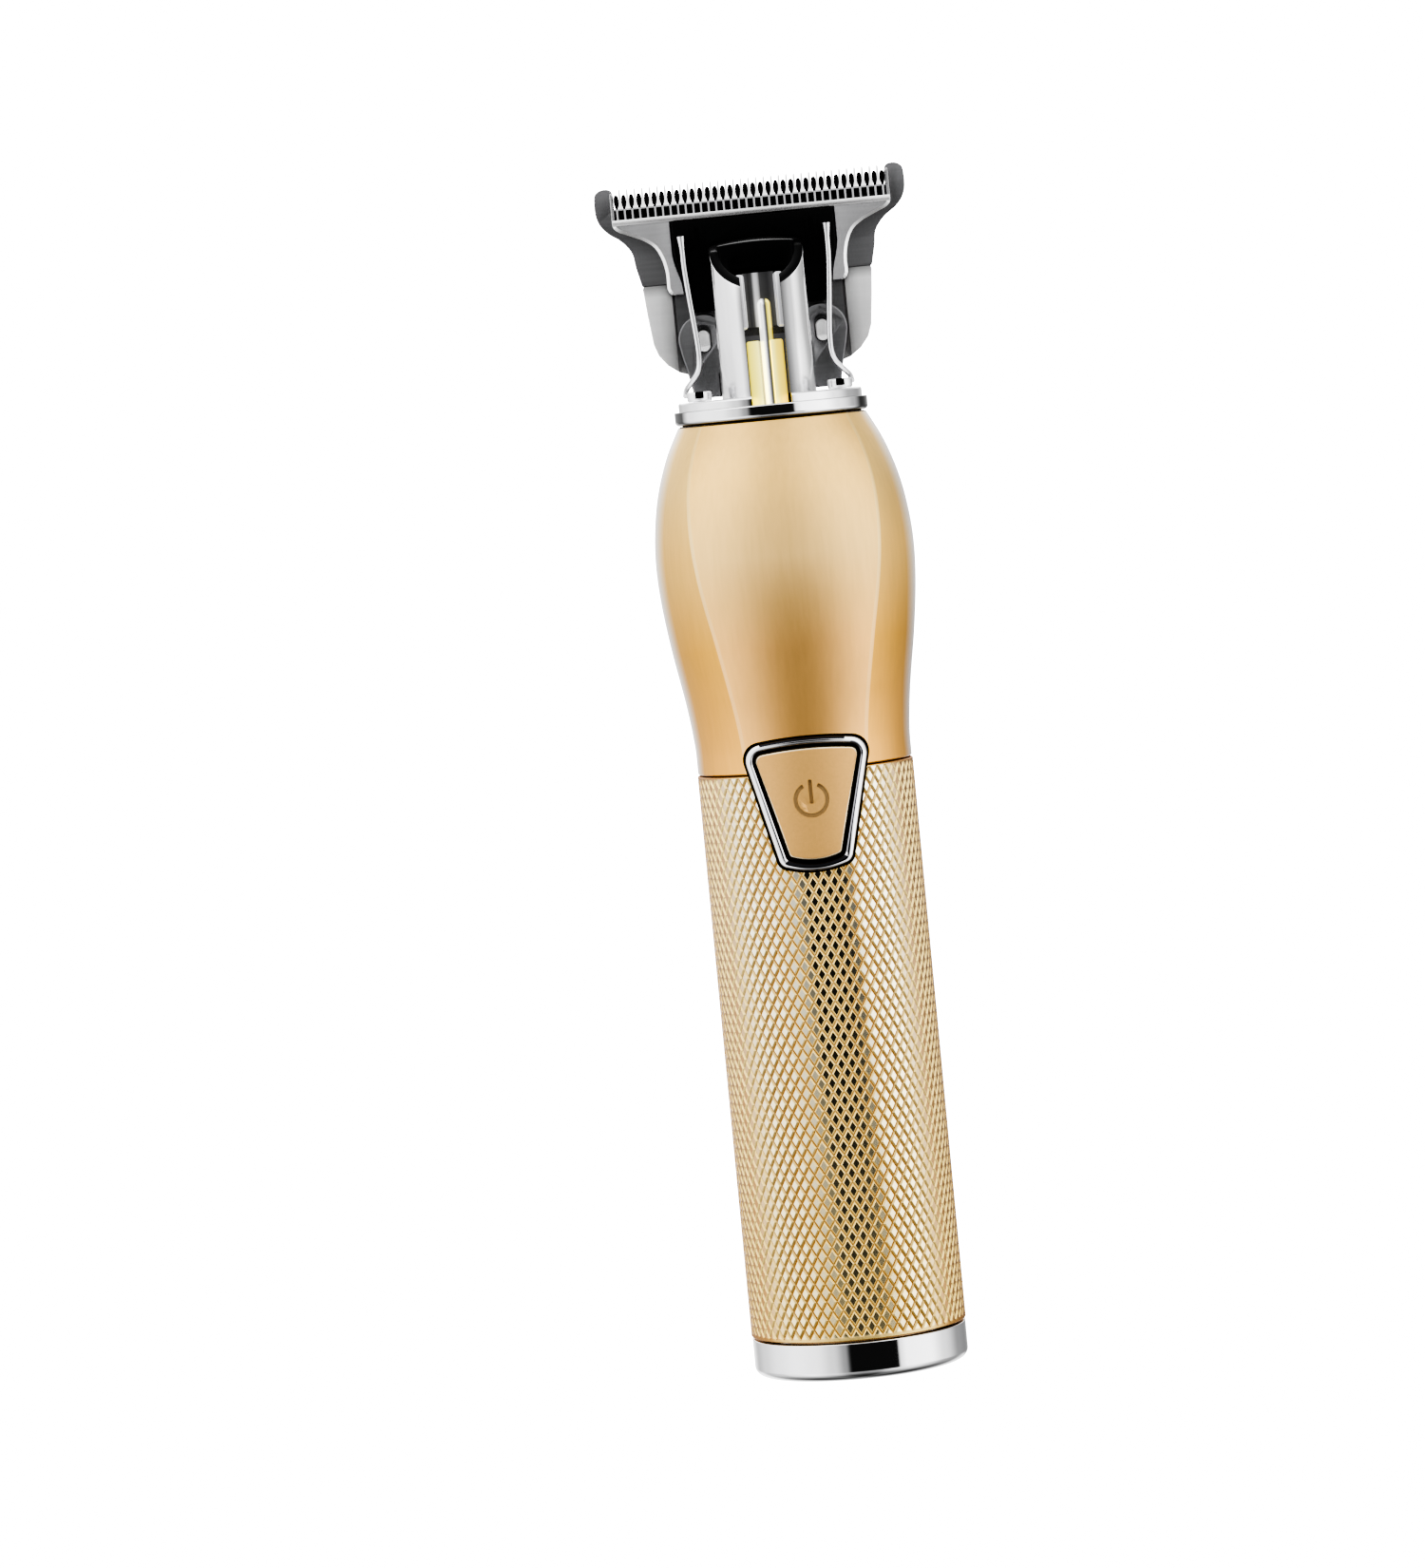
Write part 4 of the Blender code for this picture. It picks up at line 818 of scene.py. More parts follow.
sleeve = make("knurled_sleeve", knurl_sleeve(), ["gold_groove", "gold_facet"], "handle",
              "grip_sleeve", sharp=20)
opening = tool("opening_form", plate(
    shield(top=8.90, bottom=5.00, z_low=68.75, z_high=85.20, r_top=2.45, r_bottom=1.35,
           bow=0.75), -18.0, -8.0))
cut(sleeve, opening)

# ================================================================= upper housing
HOUSING_LOW, HOUSING_HIGH = 81.5, 128.0
HOUSING_FOOT = 81.42                      # lowest edge, inside its chamfer
HOUSING_WALL = 1.5
HOUSING_BORE_R = 6.4
PANEL_STEPS = 26                          # steps across a panel
CREASE_STEPS = 4                          # steps round a crease
CREASE_SOFT = 0.30                        # how far a crease's rounding reaches
# (height, radius at the middle of a panel)
HOUSING_R = [(81.5, 14.40), (85.0, 14.45), (90.5, 15.05), (98.2, 16.32),
             (104.5, 17.10), (109.7, 17.35), (114.5, 17.02), (119.3, 16.13),
             (124.0, 14.55), (128.0, 12.54)]
# (height, angle of the creases from the Y axis in degrees)
CREASE_DEG = [(81.5, 33.0), (90.0, 34.4), (98.8, 37.2), (104.4, 40.0), (110.0, 42.6),
              (115.0, 44.8), (120.0, 46.6), (128.0, 48.8)]
INNER_LEVELS = (126.0, 121.5, 115.5, 108.0, 98.5, 89.0, HOUSING_FOOT)
FLANGE_SCREW_X, FLANGE_SCREW_Y = 9.4, -3.0


def housing_section(z, inset=0.0):
    """One level of the housing as (x, y): front and back panels and two flanks,
    each an arc, meeting in four creases with a small rounding."""
    radius = between(HOUSING_R, z) - inset
    crease = math.radians(between(CREASE_DEG, z))
    fade = min(1.0, 0.35 + (z - HOUSING_LOW) / 16.0, 0.35 + (HOUSING_HIGH - z) / 10.0)
    rim = radius * (1 + (0.045 * fade if inset == 0 else 0))
    crease_x, crease_y = rim * math.sin(crease), rim * math.cos(crease)

    def arc(half_chord, chord_at):
        """Points (along, out) from crease to crease, less the rounding."""
        drop = radius - chord_at
        bow_r = (half_chord**2 + drop**2) / (2 * drop)
        swing = math.asin(half_chord / bow_r)
        trim = CREASE_SOFT / bow_r
        turns = [-swing + trim + (2 * swing - 2 * trim) * k / PANEL_STEPS
                 for k in range(PANEL_STEPS + 1)]
        return [(bow_r * math.sin(t), radius - bow_r + bow_r * math.cos(t)) for t in turns]

    broad, flank = arc(crease_x, crease_y), arc(crease_y, crease_x)
    panels = [[Vector((along, -out)) for along, out in broad],        # front
              [Vector((out, along)) for along, out in flank],         # right
              [Vector((-along, out)) for along, out in broad],        # back
              [Vector((-out, -along)) for along, out in flank]]       # left
    corners = [Vector((crease_x, -crease_y)), Vector((crease_x, crease_y)),
               Vector((-crease_x, crease_y)), Vector((-crease_x, -crease_y))]
    section = []
    for i, panel in enumerate(panels):
        section += panel
        a, b, c = panel[-1], corners[i], panels[(i + 1) % 4][0]
        for k in range(1, CREASE_STEPS):
            t = k / CREASE_STEPS
            section.append((1 - t)**2 * a + 2 * (1 - t) * t * b + t * t * c)
    return section


def housing_mesh():
    """The shell: up the outside, in over the top and down the inside."""
    def level(z, inset=0.0):
        return [(p.x, p.y, z) for p in housing_section(max(z, HOUSING_LOW), inset)]

    def drawn_in(section, by, z):
        return [(p.x * (1 - by / p.length), p.y * (1 - by / p.length), z) for p in section]

    top = housing_section(HOUSING_HIGH)
    levels = [drawn_in(housing_section(HOUSING_LOW), 0.12, HOUSING_FOOT)]
    levels += [level(81.55 + (127.75 - 81.55) * k / 84) for k in range(85)]
    levels.append(drawn_in(top, 0.25, 127.95))
    for z in (127.98, INNER_LEVELS[0]):   # the round bore through the top
        levels.append([(HOUSING_BORE_R * p.x / p.length, HOUSING_BORE_R * p.y / p.length, z)
                       for p in top])
    levels += [level(z, HOUSING_WALL) for z in INNER_LEVELS]
    bm = bmesh.new()
    rings = [add_ring(bm, points) for points in levels]
    panel = len(top) // 4                 # points of one panel with its crease
    for a, b in zip(rings, rings[1:] + rings[:1]):
        for k, face in enumerate(bridge(bm, a, b)):
            # crease faces take the painted highlight gold, flank faces the painted shade gold
            if k % panel >= panel - CREASE_STEPS:
                face.material_index = 2
            elif k // panel in (1, 3):
                face.material_index = 1
    return bm


housing = make("housing_shell", housing_mesh(), ["gold_satin", "gold_flank_shaded", "gold_crease_highlight"],
               "handle", "upper_housing", sharp=30)
cut(housing, opening)
for side, _ in SIDES:
    cut(housing, tool(f"web_bore_form_{side}", rod(
        0.95, 124.5, 129.0, 32, (FLANGE_SCREW_X * side, FLANGE_SCREW_Y))))

# ======================================================= button and its surround
SWITCH_Z = 76.7
BUTTON_CENTRE = Vector((0.0, 76.2))       # x, z that the button's rings shrink to
BUTTON_BACK_R, BUTTON_FACE_R = 12.9, 14.78
OUTER = shield(top=8.64, bottom=4.78, z_low=69.00, z_high=84.95, r_top=2.35, r_bottom=1.3,
               bow=0.75)
INNER = shield(top=7.22, bottom=3.60, z_low=69.95, z_high=84.00, r_top=1.25,
               r_bottom=0.85, bow=0.60)
BUTTON = shield(top=7.02, bottom=3.44, z_low=70.15, z_high=83.80, r_top=0.95, r_bottom=0.6,
                bow=0.55)
# the frame's section: (share of the way in from the outer edge, radius, material); material 1
# is black, painted shade down into the gap round the button, and 0 is chrome with painted
# reflections
FRAME = [(0.0, 13.0, 0), (0.0, 14.70, 0), (0.03, 14.92, 0), (0.10, 15.07, 0),
         (0.20, 15.15, 0), (0.34, 15.19, 0), (0.50, 15.195, 0), (0.62, 15.16, 0),
         (0.74, 15.05, 0), (0.83, 14.88, 0), (0.88, 14.62, 1), (0.91, 14.3, 1),
         (0.95, 14.1, 1), (1.0, 14.0, 1), (1.0, 13.0, 1)]
# the button's edge: (distance in from its outline, radius)
DOME = [(0.0, BUTTON_BACK_R), (0.0, 14.54), (0.048, 14.64), (0.132, 14.73),
        (0.252, 14.77), (0.42, BUTTON_FACE_R)]


def on_drum(x, z, radius):
    """The point at x, z on the front of an upright cylinder."""
    return x, -math.sqrt(radius**2 - x * x), z


def frame_material(k, share):
    """Chrome (0), or a painted dark (2) or grey (3) reflection, for point k round the chrome
    of the frame.
    """
    # painted dark reflection on the bottom bar, the middle of the top bar and the inner and
    # outer edges
    foot = (k <= 18 or k >= 88) and share >= 0.34
    head = 47 <= k <= 59 and 0.03 <= share < 0.34
    if foot or head or share >= 0.74 or share <= 0.03:
        return 2
    if 23 <= k <= 45 and share >= 0.50:   # painted grey reflection on the right side and its upper corner
        return 3
    return 0


def surround_mesh():
    bm = bmesh.new()
    rings = []
    for share, radius, _ in FRAME:
        rings.append(add_ring(bm, [
            on_drum(xo + (xi - xo) * share, zo + (zi - zo) * share, radius)
            for (xo, zo), (xi, zi) in zip(OUTER, INNER)]))
    for (share, _, material), a, b in zip(FRAME, rings, rings[1:] + rings[:1]):
        for k, face in enumerate(bridge(bm, a, b)):
            face.material_index = material or frame_material(k, share)
    return bm


def button_mesh():
    """A button with rounded edges; its back follows the same round as its face."""
    bm = bmesh.new()

    def ring(radius, share=0.0, inset=0.0):
        """The outline moved in by a share of the way and by a distance."""
        points = []
        for point in map(Vector, BUTTON):
            inward = BUTTON_CENTRE - point
            moved = point + inward * (share + inset / inward.length)
            points.append(on_drum(moved.x, moved.y, radius))
        return add_ring(bm, points)

    front = [ring(radius, inset=inset) for inset, radius in DOME]
    front += [ring(BUTTON_FACE_R, share) for share in (0.3, 0.45, 0.6, 0.75, 0.9)]
    # rings 1 to 3 round the rim take the lighter gold: a painted highlight
    for r, (a, b) in enumerate(zip(front, front[1:])):
        for face in bridge(bm, a, b):
            face.material_index = 1 if 1 <= r <= 3 else 0
    bm.faces.new(front[-1])
    back = front[:1] + [ring(BUTTON_BACK_R, share) for share in (0.2, 0.4, 0.6, 0.8, 0.93)]
    for a, b in zip(back, back[1:]):
        bridge(bm, b, a)
    bm.faces.new(list(reversed(back[-1])))
    bmesh.ops.remove_doubles(bm, verts=bm.verts, dist=1e-7)
    return bm


# the surround's inner wall is black as painted shade, and zones of its chrome take painted
# dark and grey reflections
make("button_surround", surround_mesh(), ["chrome", "black", "chrome_reflection_dark", "chrome_reflection_grey"],
     "handle", "button_bezel", sharp=50)
button = make("power_button_cap", button_mesh(), ["gold_button", "gold_edge_highlight"], "button",
              "power_button", sharp=35)

# the power symbol, sunk into the button: an open ring and an upright bar
SYMBOL_X, SYMBOL_Z = 0.1, 77.5
SYMBOL_R, SYMBOL_STROKE = 2.10, 0.54
SYMBOL_START, SYMBOL_END = 90 + 27, 450 - 27     # the ring's ends, in degrees
SYMBOL_DEPTH = (-16.0, -14.26)            # the cutters' extent in y
BAR_HALF = 0.25
cut(button, tool("symbol_ring_form", plate(
    circle(SYMBOL_X, SYMBOL_Z, SYMBOL_R + SYMBOL_STROKE / 2, 48, SYMBOL_START, SYMBOL_END)
    + circle(SYMBOL_X, SYMBOL_Z, SYMBOL_R - SYMBOL_STROKE / 2, 48, SYMBOL_END,
             SYMBOL_START), *SYMBOL_DEPTH), "gold_shade"))
cut(button, tool("symbol_bar_form", plate(round_corners(
    rectangle(SYMBOL_X - BAR_HALF, SYMBOL_X + BAR_HALF, SYMBOL_Z - 0.55, SYMBOL_Z + 2.65),
    [0.2] * 4, 4), *SYMBOL_DEPTH), "gold_shade"))
make("button_stem", face_front(rod(1.3, 11.95, 13.4, 32), 0, SWITCH_Z), "gold_button",
     "button")

# =================================================================== collar ring
COLLAR_R, COLLAR_BORE_R = 12.95, 7.25
make("collar_ring_turned", lathe(
    [(COLLAR_BORE_R, 127.90), (12.00, 127.90), (12.05, 128.03), (12.40, 128.03)]
    + bend(12.40, 128.58, 0.55, 0.55, range(-75, 1, 15))
    + [(COLLAR_R, 128.62), (COLLAR_R, 129.66), (COLLAR_R, 129.70)]
    + bend(12.80, 129.73, 0.15, 0.15, range(15, 91, 15))
    + [(COLLAR_BORE_R, 129.88)], 160),
    "chrome_collar", "handle", "collar_ring", sharp=40)

# ===================================================================== nose tube
NOSE_R, NOSE_BACK, NOSE_WALL = 6.3, 4.2, 1.3     # front radius, y of the flat back, wall
NOSE_LOW, NOSE_MOUTH = 129.6, 150.8
CHANNEL = 2.65                            # half width of the channel down the front
# up the outside, over the mouth's edge and down the inside:
# (inset from the outside, drop below the mouth's edge; None for the foot)
NOSE_WALL_STEPS = [(0.0, None), (0.0, 0.42), (0.035, 0.20), (0.14, 0.07), (0.34, 0.0),
                   (NOSE_WALL - 0.34, 0.0), (NOSE_WALL - 0.12, 0.08), (NOSE_WALL, 0.32),
                   (NOSE_WALL, None)]


def nose_outline(inset):
    """D section of the nose: round in front, flat behind, from the front left
    round the front to the back and round again."""
    radius, back = NOSE_R - inset, NOSE_BACK - inset
    corner = 1.0 - inset * 0.5
    half = radius - corner                # half width of the flat
    points = circle(0, 0, radius, 72, 180, 360)
    points += circle(half, back - corner, corner, 10, 0, 90)
    points += [(half - (2 * half) * k / 12, back) for k in range(1, 12)]
    points += circle(-half, back - corner, corner, 10, 90, 180)
    return points


def nose_mouth(x, y):
    """Height of the mouth's edge: lower in front, a little higher behind, and
    bowed up along the back wall."""
    if y > 0:
        bow = 0.75 * (y / NOSE_BACK)**2 * max(0.0, 1 - (x / 6.0)**2)
        return NOSE_MOUTH + 0.22 * y + bow
    return NOSE_MOUTH + 0.85 * y


def nose_tube():
    bm = bmesh.new()
    rings = []
    for inset, drop in NOSE_WALL_STEPS:
        rings.append(add_ring(bm, [
            (x, y, NOSE_LOW if drop is None else nose_mouth(x, y) - drop)
            for x, y in nose_outline(inset)]))
    outer = nose_outline(0.0)
    for r, (a, b) in enumerate(zip(rings, rings[1:] + rings[:1])):
        for (_, y), face in zip(outer, bridge(bm, a, b)):
            # the back rim's top takes the painted dark grey and the inside the painted dark:
            # painted shade
            if 1 <= r < 6 and y > 0.4:
                face.material_index = 2
            elif r >= 2:
                face.material_index = 1
    return bm


nose = make("nose_body", nose_tube(), ["chrome_nose", "nose_inside", "nose_rim"], "handle",
            "nose_frame", sharp=38)
channel = tool("channel_form", plate(rectangle(-CHANNEL, CHANNEL, 129.3, 154.0),
                                     -13.0, -2.6))
cut(nose, channel)
# the fork's slot through the back wall
cut(nose, tool("fork_form", plate(
    round_corners(rectangle(-3.95, 3.95, 139.2, 148.3), [1.2, 1.2, 0.6, 0.6], 8),
    1.3, 6.5)))
bevel(nose, width=0.16, segments=3, angle=42)

# ======================================================== flange and its screws
FLANGE_R, FLANGE_BORE_R = 12.31, 2.62
FOOT_SCREW_X, FOOT_SCREW_Y = 3.6, 6.6     # screws through the blade base's foot

flange = make("head_flange", lathe(
    [(FLANGE_BORE_R, 129.80), (12.24, 129.80), (12.30, 129.84), (FLANGE_R, 129.90),
     (FLANGE_R, 129.94), (FLANGE_R, 130.74), (FLANGE_R, 130.78)]
    + bend(11.99, 130.78, 0.32, 0.32, range(15, 91, 15))
    + [(FLANGE_BORE_R, 131.1)], 160),
    "chrome", "handle", sharp=40)
cut(flange, channel)
cut(flange, tool("guide_notch_form", brick((-CHANNEL, CHANNEL), (-3.0, -0.4),
                                           (129.2, 132.0))))
for side, _ in SIDES:
    cut(flange, tool(f"flange_hole_form_{side}", rod(
        1.0, 127, 133, 24, (FLANGE_SCREW_X * side, FLANGE_SCREW_Y))))
    cut(flange, tool(f"foot_hole_form_{side}", rod(
        0.84, 127, 133, 24, (FOOT_SCREW_X * side, FOOT_SCREW_Y))))

# slotted cheese heads
for side, hand in SIDES:
    name = f"nose_screw_{hand}"
    x = FLANGE_SCREW_X * side
    head = make(name + "_head", lathe(
        [(0, 125.2), (0.8, 125.2), (0.8, 131.12), (1.52, 131.12), (1.62, 131.22),
         (1.66, 131.4), (1.66, 132.12)]
        + bend(1.44, 132.14, 0.22, 0.26, range(15, 91, 15)) + [(0, 132.4)],
        56, (x, FLANGE_SCREW_Y)),
        "steel_bright", "handle", name, sharp=40)
    # the slot's cut faces take the flat black: painted shade in the slot
    cut(head, tool(name + "_slot_form", brick(
        (x - 0.55, x + 0.55), (-6.0, -2.1), (131.50, 133.5)), "tooth_black"))
    bevel(head, width=0.06, segments=2, angle=50)

# ====================================================== brass guide and drive pin
GUIDE_BORE_R, GUIDE_R = 1.65, 2.45
guide = make("guide_sleeve", lathe(
    [(GUIDE_BORE_R, 128.42), (6.9, 128.42), (6.9, 129.58), (GUIDE_R, 129.6),
     (GUIDE_R, 138.12), (2.40, 138.30), (2.25, 138.4), (1.80, 138.4), (1.68, 138.32),
     (GUIDE_BORE_R, 138.2)], 96),
    "brass_satin", "handle", "shaft_guide", sharp=30)
cut(guide, tool("guide_slot_form", plate(rectangle(-0.82, 0.82, 129.75, 140.0), -4.0, 0.0)))
bevel(guide, width=0.06, segments=2, angle=50)

PIN_R, PIN_THROW = 0.9, 0.5
PIN_TURN = math.radians(44)               # from the front towards the right
make("drive_pin_rod", lathe(
    [(0, 122.4), (PIN_R, 122.4), (PIN_R, 143.1)]
    + bend(0, 143.1, PIN_R, PIN_R, range(10, 91, 10)), 48,
    (PIN_THROW * math.sin(PIN_TURN), -PIN_THROW * math.cos(PIN_TURN))),
    "steel_pin", "rotor", "drive_pin", sharp=50)

# =================================================================== fixed blade
PITCH = 1.025                             # from tooth to tooth
TOOTH_CENTRES = [k * PITCH for k in range(-17, 18)]
GAP_CENTRES = [(k + 0.5) * PITCH for k in range(-18, 18)]
BLADE_FRONT, BLADE_BACK = 6.92, 9.38      # y
ROOT_HALF = 18.3                          # half width of the toothed stretch
# right end of the blade, from below: (x, z)
EAR = [(15.6, 147.5), (16.15, 149.9), (16.4, 151.6), (17.1, 152.8), (18.1, 153.8),
       (19.4, 154.7), (20.42, 155.9), (20.90, 157.4), (20.88, 159.5), (20.55, 160.22),
       (19.85, 160.58), (19.0, 160.58), (18.5, 160.28), (18.3, 159.6)]
# half a tooth, root to tip: (x from its centre, z)
HALF_TOOTH = [(0.33, 157.78), (0.30, 158.0), (0.215, 158.4), (0.165, 158.8), (0.14, 159.7),
              (0.11, 160.25), (0.05, 160.47)]


def tooth_row(half, centres, front, back):
    """A plate at each centre, from one half outline."""
    return merged([plate([(centre + x, z) for x, z in half]
                         + [(centre - x, z) for x, z in reversed(half)], front, back)
                   for centre in centres])


def relief_wedge():
    """The bevel that thins the teeth from behind."""
    bm = bmesh.new()
    for x in (-22.0, 22.0):
        for y, z in ((9.6, 154.0), (12.0, 154.0), (12.0, 162.0), (7.42, 162.0)):
            bm.verts.new((x * MM, y * MM, z * MM))
    bmesh.ops.convex_hull(bm, input=list(bm.verts))
    return bm


blade = make("fixed_blade_plate", plate(mirror(
    [(0, 147.18), (15.5, 147.18)] + [tuple(p) for p in spline(EAR, 4)]
    + [(ROOT_HALF, 157.82), (0, 157.82)]), BLADE_FRONT, BLADE_BACK),
    "blade_dark", "handle", "fixed_blade", sharp=30)
tooth_relief = tool("tooth_relief_form", relief_wedge())
cut(blade, tooth_relief)
bevel(blade, width=0.10, segments=2, angle=50)
teeth = make("fixed_blade_teeth", tooth_row(HALF_TOOTH, TOOTH_CENTRES, BLADE_FRONT,
                                            BLADE_BACK),
             "tooth_white", "handle", sharp=30)
cut(teeth, tooth_relief)
make("tooth_root_shadow", brick((-ROOT_HALF, ROOT_HALF), (6.86, 6.93), (155.6, 157.66)),
     "tooth_black", "handle")
# a thin strip of the glowing rib grey: a painted highlight along the roots of the teeth
make("tooth_root_line", brick((-ROOT_HALF, ROOT_HALF), (6.82, 6.93), (157.64, 157.84)),
     "tooth_rib", "handle")

# ================================== the blade's tang, its two lugs and their screws
BLADE_SCREW_X, BLADE_SCREW_Z = 8.0, 138.6
SLOT_TOP_Z = 140.2                        # upper centre of the lug's slot
# right halves: (x, z)
TANG = [(0, 136.6), (4.6, 136.6), (6.25, 135.2), (6.25, 131.5), (9.9, 131.5),
        (10.3, 134.0), (11.1, 137.2), (11.35, 139.4), (11.35, 148.6)]
LUG = circle(BLADE_SCREW_X, 139.35, 3.4, 40, -6, 180) + [
    (4.62, 137.2), (4.9, 136.0), (6.25, 134.6), (6.25, 131.5), (9.85, 131.5),
    (10.25, 134.0), (11.05, 137.2)]

tang = make("blade_tang", plate(mirror(TANG), 7.0, 7.9), "blade_dark", "handle",
            sharp=30)
for side, hand in SIDES:
    x = BLADE_SCREW_X * side
    lug = make(f"blade_lug_{hand}", plate([(a * side, z) for a, z in LUG], 5.02, 7.2),
               "blade_dark", "handle", sharp=30)
    bevel(lug, width=0.22, segments=3, angle=40)
    sink = tool(f"lug_sink_form_{side}", plate(
        oblong(x, BLADE_SCREW_Z, SLOT_TOP_Z, 1.05, 20), 3.0, 6.3))
    slit = tool(f"lug_slit_form_{side}", plate(
        oblong(x, BLADE_SCREW_Z, SLOT_TOP_Z, 0.68, 16), 6.0, 9.0))
    cut(lug, sink)
    cut(lug, slit)
    cut(tang, slit)
    name = f"blade_screw_{hand}"
    screw = lathe([(0, -9.2), (0.55, -9.2), (0.55, -6.1), (0.93, -6.1), (0.93, -5.55)]
                  + bend(0, -5.55, 0.93, 0.5, range(12, 91, 13)), 40)
    make(name + "_dome", face_front(screw, x, BLADE_SCREW_Z), "steel_bright", "handle",
         name, sharp=50)
    key = make(name + "_key", plate(oblong(x, 138.55, 139.75, 0.86, 20), 5.02, 6.15),
               "steel_key", "handle", sharp=30)
    bevel(key, width=0.25, segments=3, angle=40)

# ==================================================================== blade base
BASE_LOW = 131.45
# right halves: (x, z)
BASE = [(0, BASE_LOW), (5.6, BASE_LOW), (6.2, 132.0), (6.2, 133.4), (6.8, 134.1),
        (9.6, 134.6), (11.6, 135.25), (13.1, 136.35), (14.2, 137.75), (14.75, 139.3),
        (15.2, 143.3), (15.5, 146.8), (15.35, 147.2), (0, 147.2)]
WING = [(11.65, 135.35), (12.4, 135.9), (13.15, 136.55), (14.1, 137.85), (14.65, 139.35),
        (15.1, 143.3), (15.4, 146.75), (15.3, 147.15), (11.65, 147.15)]

base = make("blade_base_plate", plate(mirror(BASE), 8.22, BLADE_BACK), "nickel", "handle",
            "blade_base", sharp=30)
for side, _ in SIDES:
    fuse(base, tool(f"wing_form_{side}", plate([(x * side, z) for x, z in WING], 7.1, 8.8)))
fuse(base, tool("foot_form", brick((-6.1, 6.1), (4.9, 8.8), (BASE_LOW, 132.6))))
for side, _ in SIDES:
    cut(base, tool(f"base_bore_form_{side}", face_front(
        rod(0.72, -12.0, -7.0, 24), BLADE_SCREW_X * side, BLADE_SCREW_Z)))
    cut(base, tool(f"base_foot_form_{side}", rod(
        0.85, 129.0, 134.0, 24, (FOOT_SCREW_X * side, FOOT_SCREW_Y))))
bevel(base, width=0.28, segments=3, angle=45)

# ================================================================== moving blade
# right outer edge, upwards to the end tooth and down its inner side: (x, z)
OUTER_EDGE = [
    (9.95, 145.6), (11.2, 145.6), (11.66, 145.7), (11.98, 146.0), (12.18, 146.5),
    (12.2, 147.2), (12.16, 147.95), (12.2, 148.8), (12.33, 149.6), (12.50, 150.35),
    (12.74, 151.0), (13.0, 151.6), (13.38, 152.2), (13.85, 152.66), (14.36, 153.0),
    (15.0, 153.4), (15.68, 153.7), (16.5, 154.06), (17.3, 154.4), (17.85, 154.62),
    (18.28, 154.9), (18.58, 155.2), (18.75, 155.6), (18.78, 156.35), (18.78, 159.66),
    (18.72, 159.88), (18.59, 159.96), (18.46, 159.88), (18.4, 159.66), (18.4, 156.35)]
# right inner edge, downwards
INNER_EDGE = [(11.05, 155.46), (11.05, 151.0), (10.9, 150.0), (10.6, 148.8), (10.35, 148.0),
              (10.15, 147.2)]
# half of the dark form between two teeth, from below: (x from its centre, z)
HALF_COLUMN = [(0.15, 157.74), (0.19, 157.95), (0.29, 158.3), (0.345, 158.65),
               (0.345, 159.1), (0.29, 159.45), (0.16, 159.7)]
TEETH_FROM = 155.9                        # above this height the chamfer is narrow
CUTTER_FRONT, CUTTER_BACK = 5.62, 6.68    # y
RIB_HALF = 0.125


def chamfer_size(point):
    """Width and depth of the front chamfer at an (x, z) point."""
    if point.y > TEETH_FROM:
        return 0.07, 0.12
    if point.y < 155.5 and abs(point.x) < 11.2:
        return 0.10, 0.30
    return 0.40, 0.30


def chamfered_plate(outline, front_y, back_y):
    """A plate whose front face is framed by a bright chamfer. The outline runs
    anticlockwise seen from the front."""
    bm = bmesh.new()
    points = [Vector(p) for p in outline]
    count = len(points)
    inner = []
    for i, point in enumerate(points):
        arriving = (point - points[i - 1]).normalized()
        leaving = (points[(i + 1) % count] - point).normalized()
        inward = Vector((-arriving.y, arriving.x)) + Vector((-leaving.y, leaving.x))
        inward = inward / max(0.55, inward.length**2 / 2)
        inner.append(point + inward * chamfer_size(point)[0])
    back = add_ring(bm, [(p.x, back_y, p.y) for p in points])
    side = add_ring(bm, [(p.x, front_y + chamfer_size(p)[1], p.y) for p in points])
    front = add_ring(bm, [(p.x, front_y, p.y) for p in inner])
    for k in range(count):
        after = (k + 1) % count
        for a, b in ((back, side), (side, front)):
            bm.faces.new((a[k], a[after], b[after], b[k])).material_index = 1
    bm.faces.new(front)
    bm.faces.new(list(reversed(back)))
    return bm


make("moving_blade_plate", chamfered_plate(
    mirror(OUTER_EDGE) + [(-x, z) for x, z in reversed(INNER_EDGE)] + INNER_EDGE,
    CUTTER_FRONT, CUTTER_BACK),
    ["blade_face", "blade_edge"], "cutter", "moving_blade", sharp=12)
band = make("moving_blade_band", brick((-18.72, 18.72), (5.50, 5.66), (155.52, 156.33)),
            "blade_edge", "cutter")
bevel(band, width=0.07, segments=2, angle=50)
make("moving_blade_ribs", merged([
    brick((centre - RIB_HALF, centre + RIB_HALF), (5.66, 6.66), (156.25, 157.76))
    for centre in GAP_CENTRES]), "tooth_rib", "cutter", sharp=30)
# the cutter's tooth tips are flat black: painted shade
make("moving_blade_tips", tooth_row(HALF_COLUMN, GAP_CENTRES, 6.20, 6.66), "tooth_black",
     "cutter", sharp=30)

# ==================================================================== drive yoke
# right half: (x, z)
YOKE = [(0, 143.1), (8.9, 143.1), (9.15, 143.3), (9.35, 144.2), (9.55, 145.5),
        (9.85, 147.2), (10.3, 148.8), (10.62, 150.2), (10.78, 151.4), (10.82, 155.2),
        (10.72, 155.3), (0, 155.3)]
YOKE_RIB_X, YOKE_RIB_HALF = (7.1, 8.3), 0.22     # two moulded ribs beside the nose

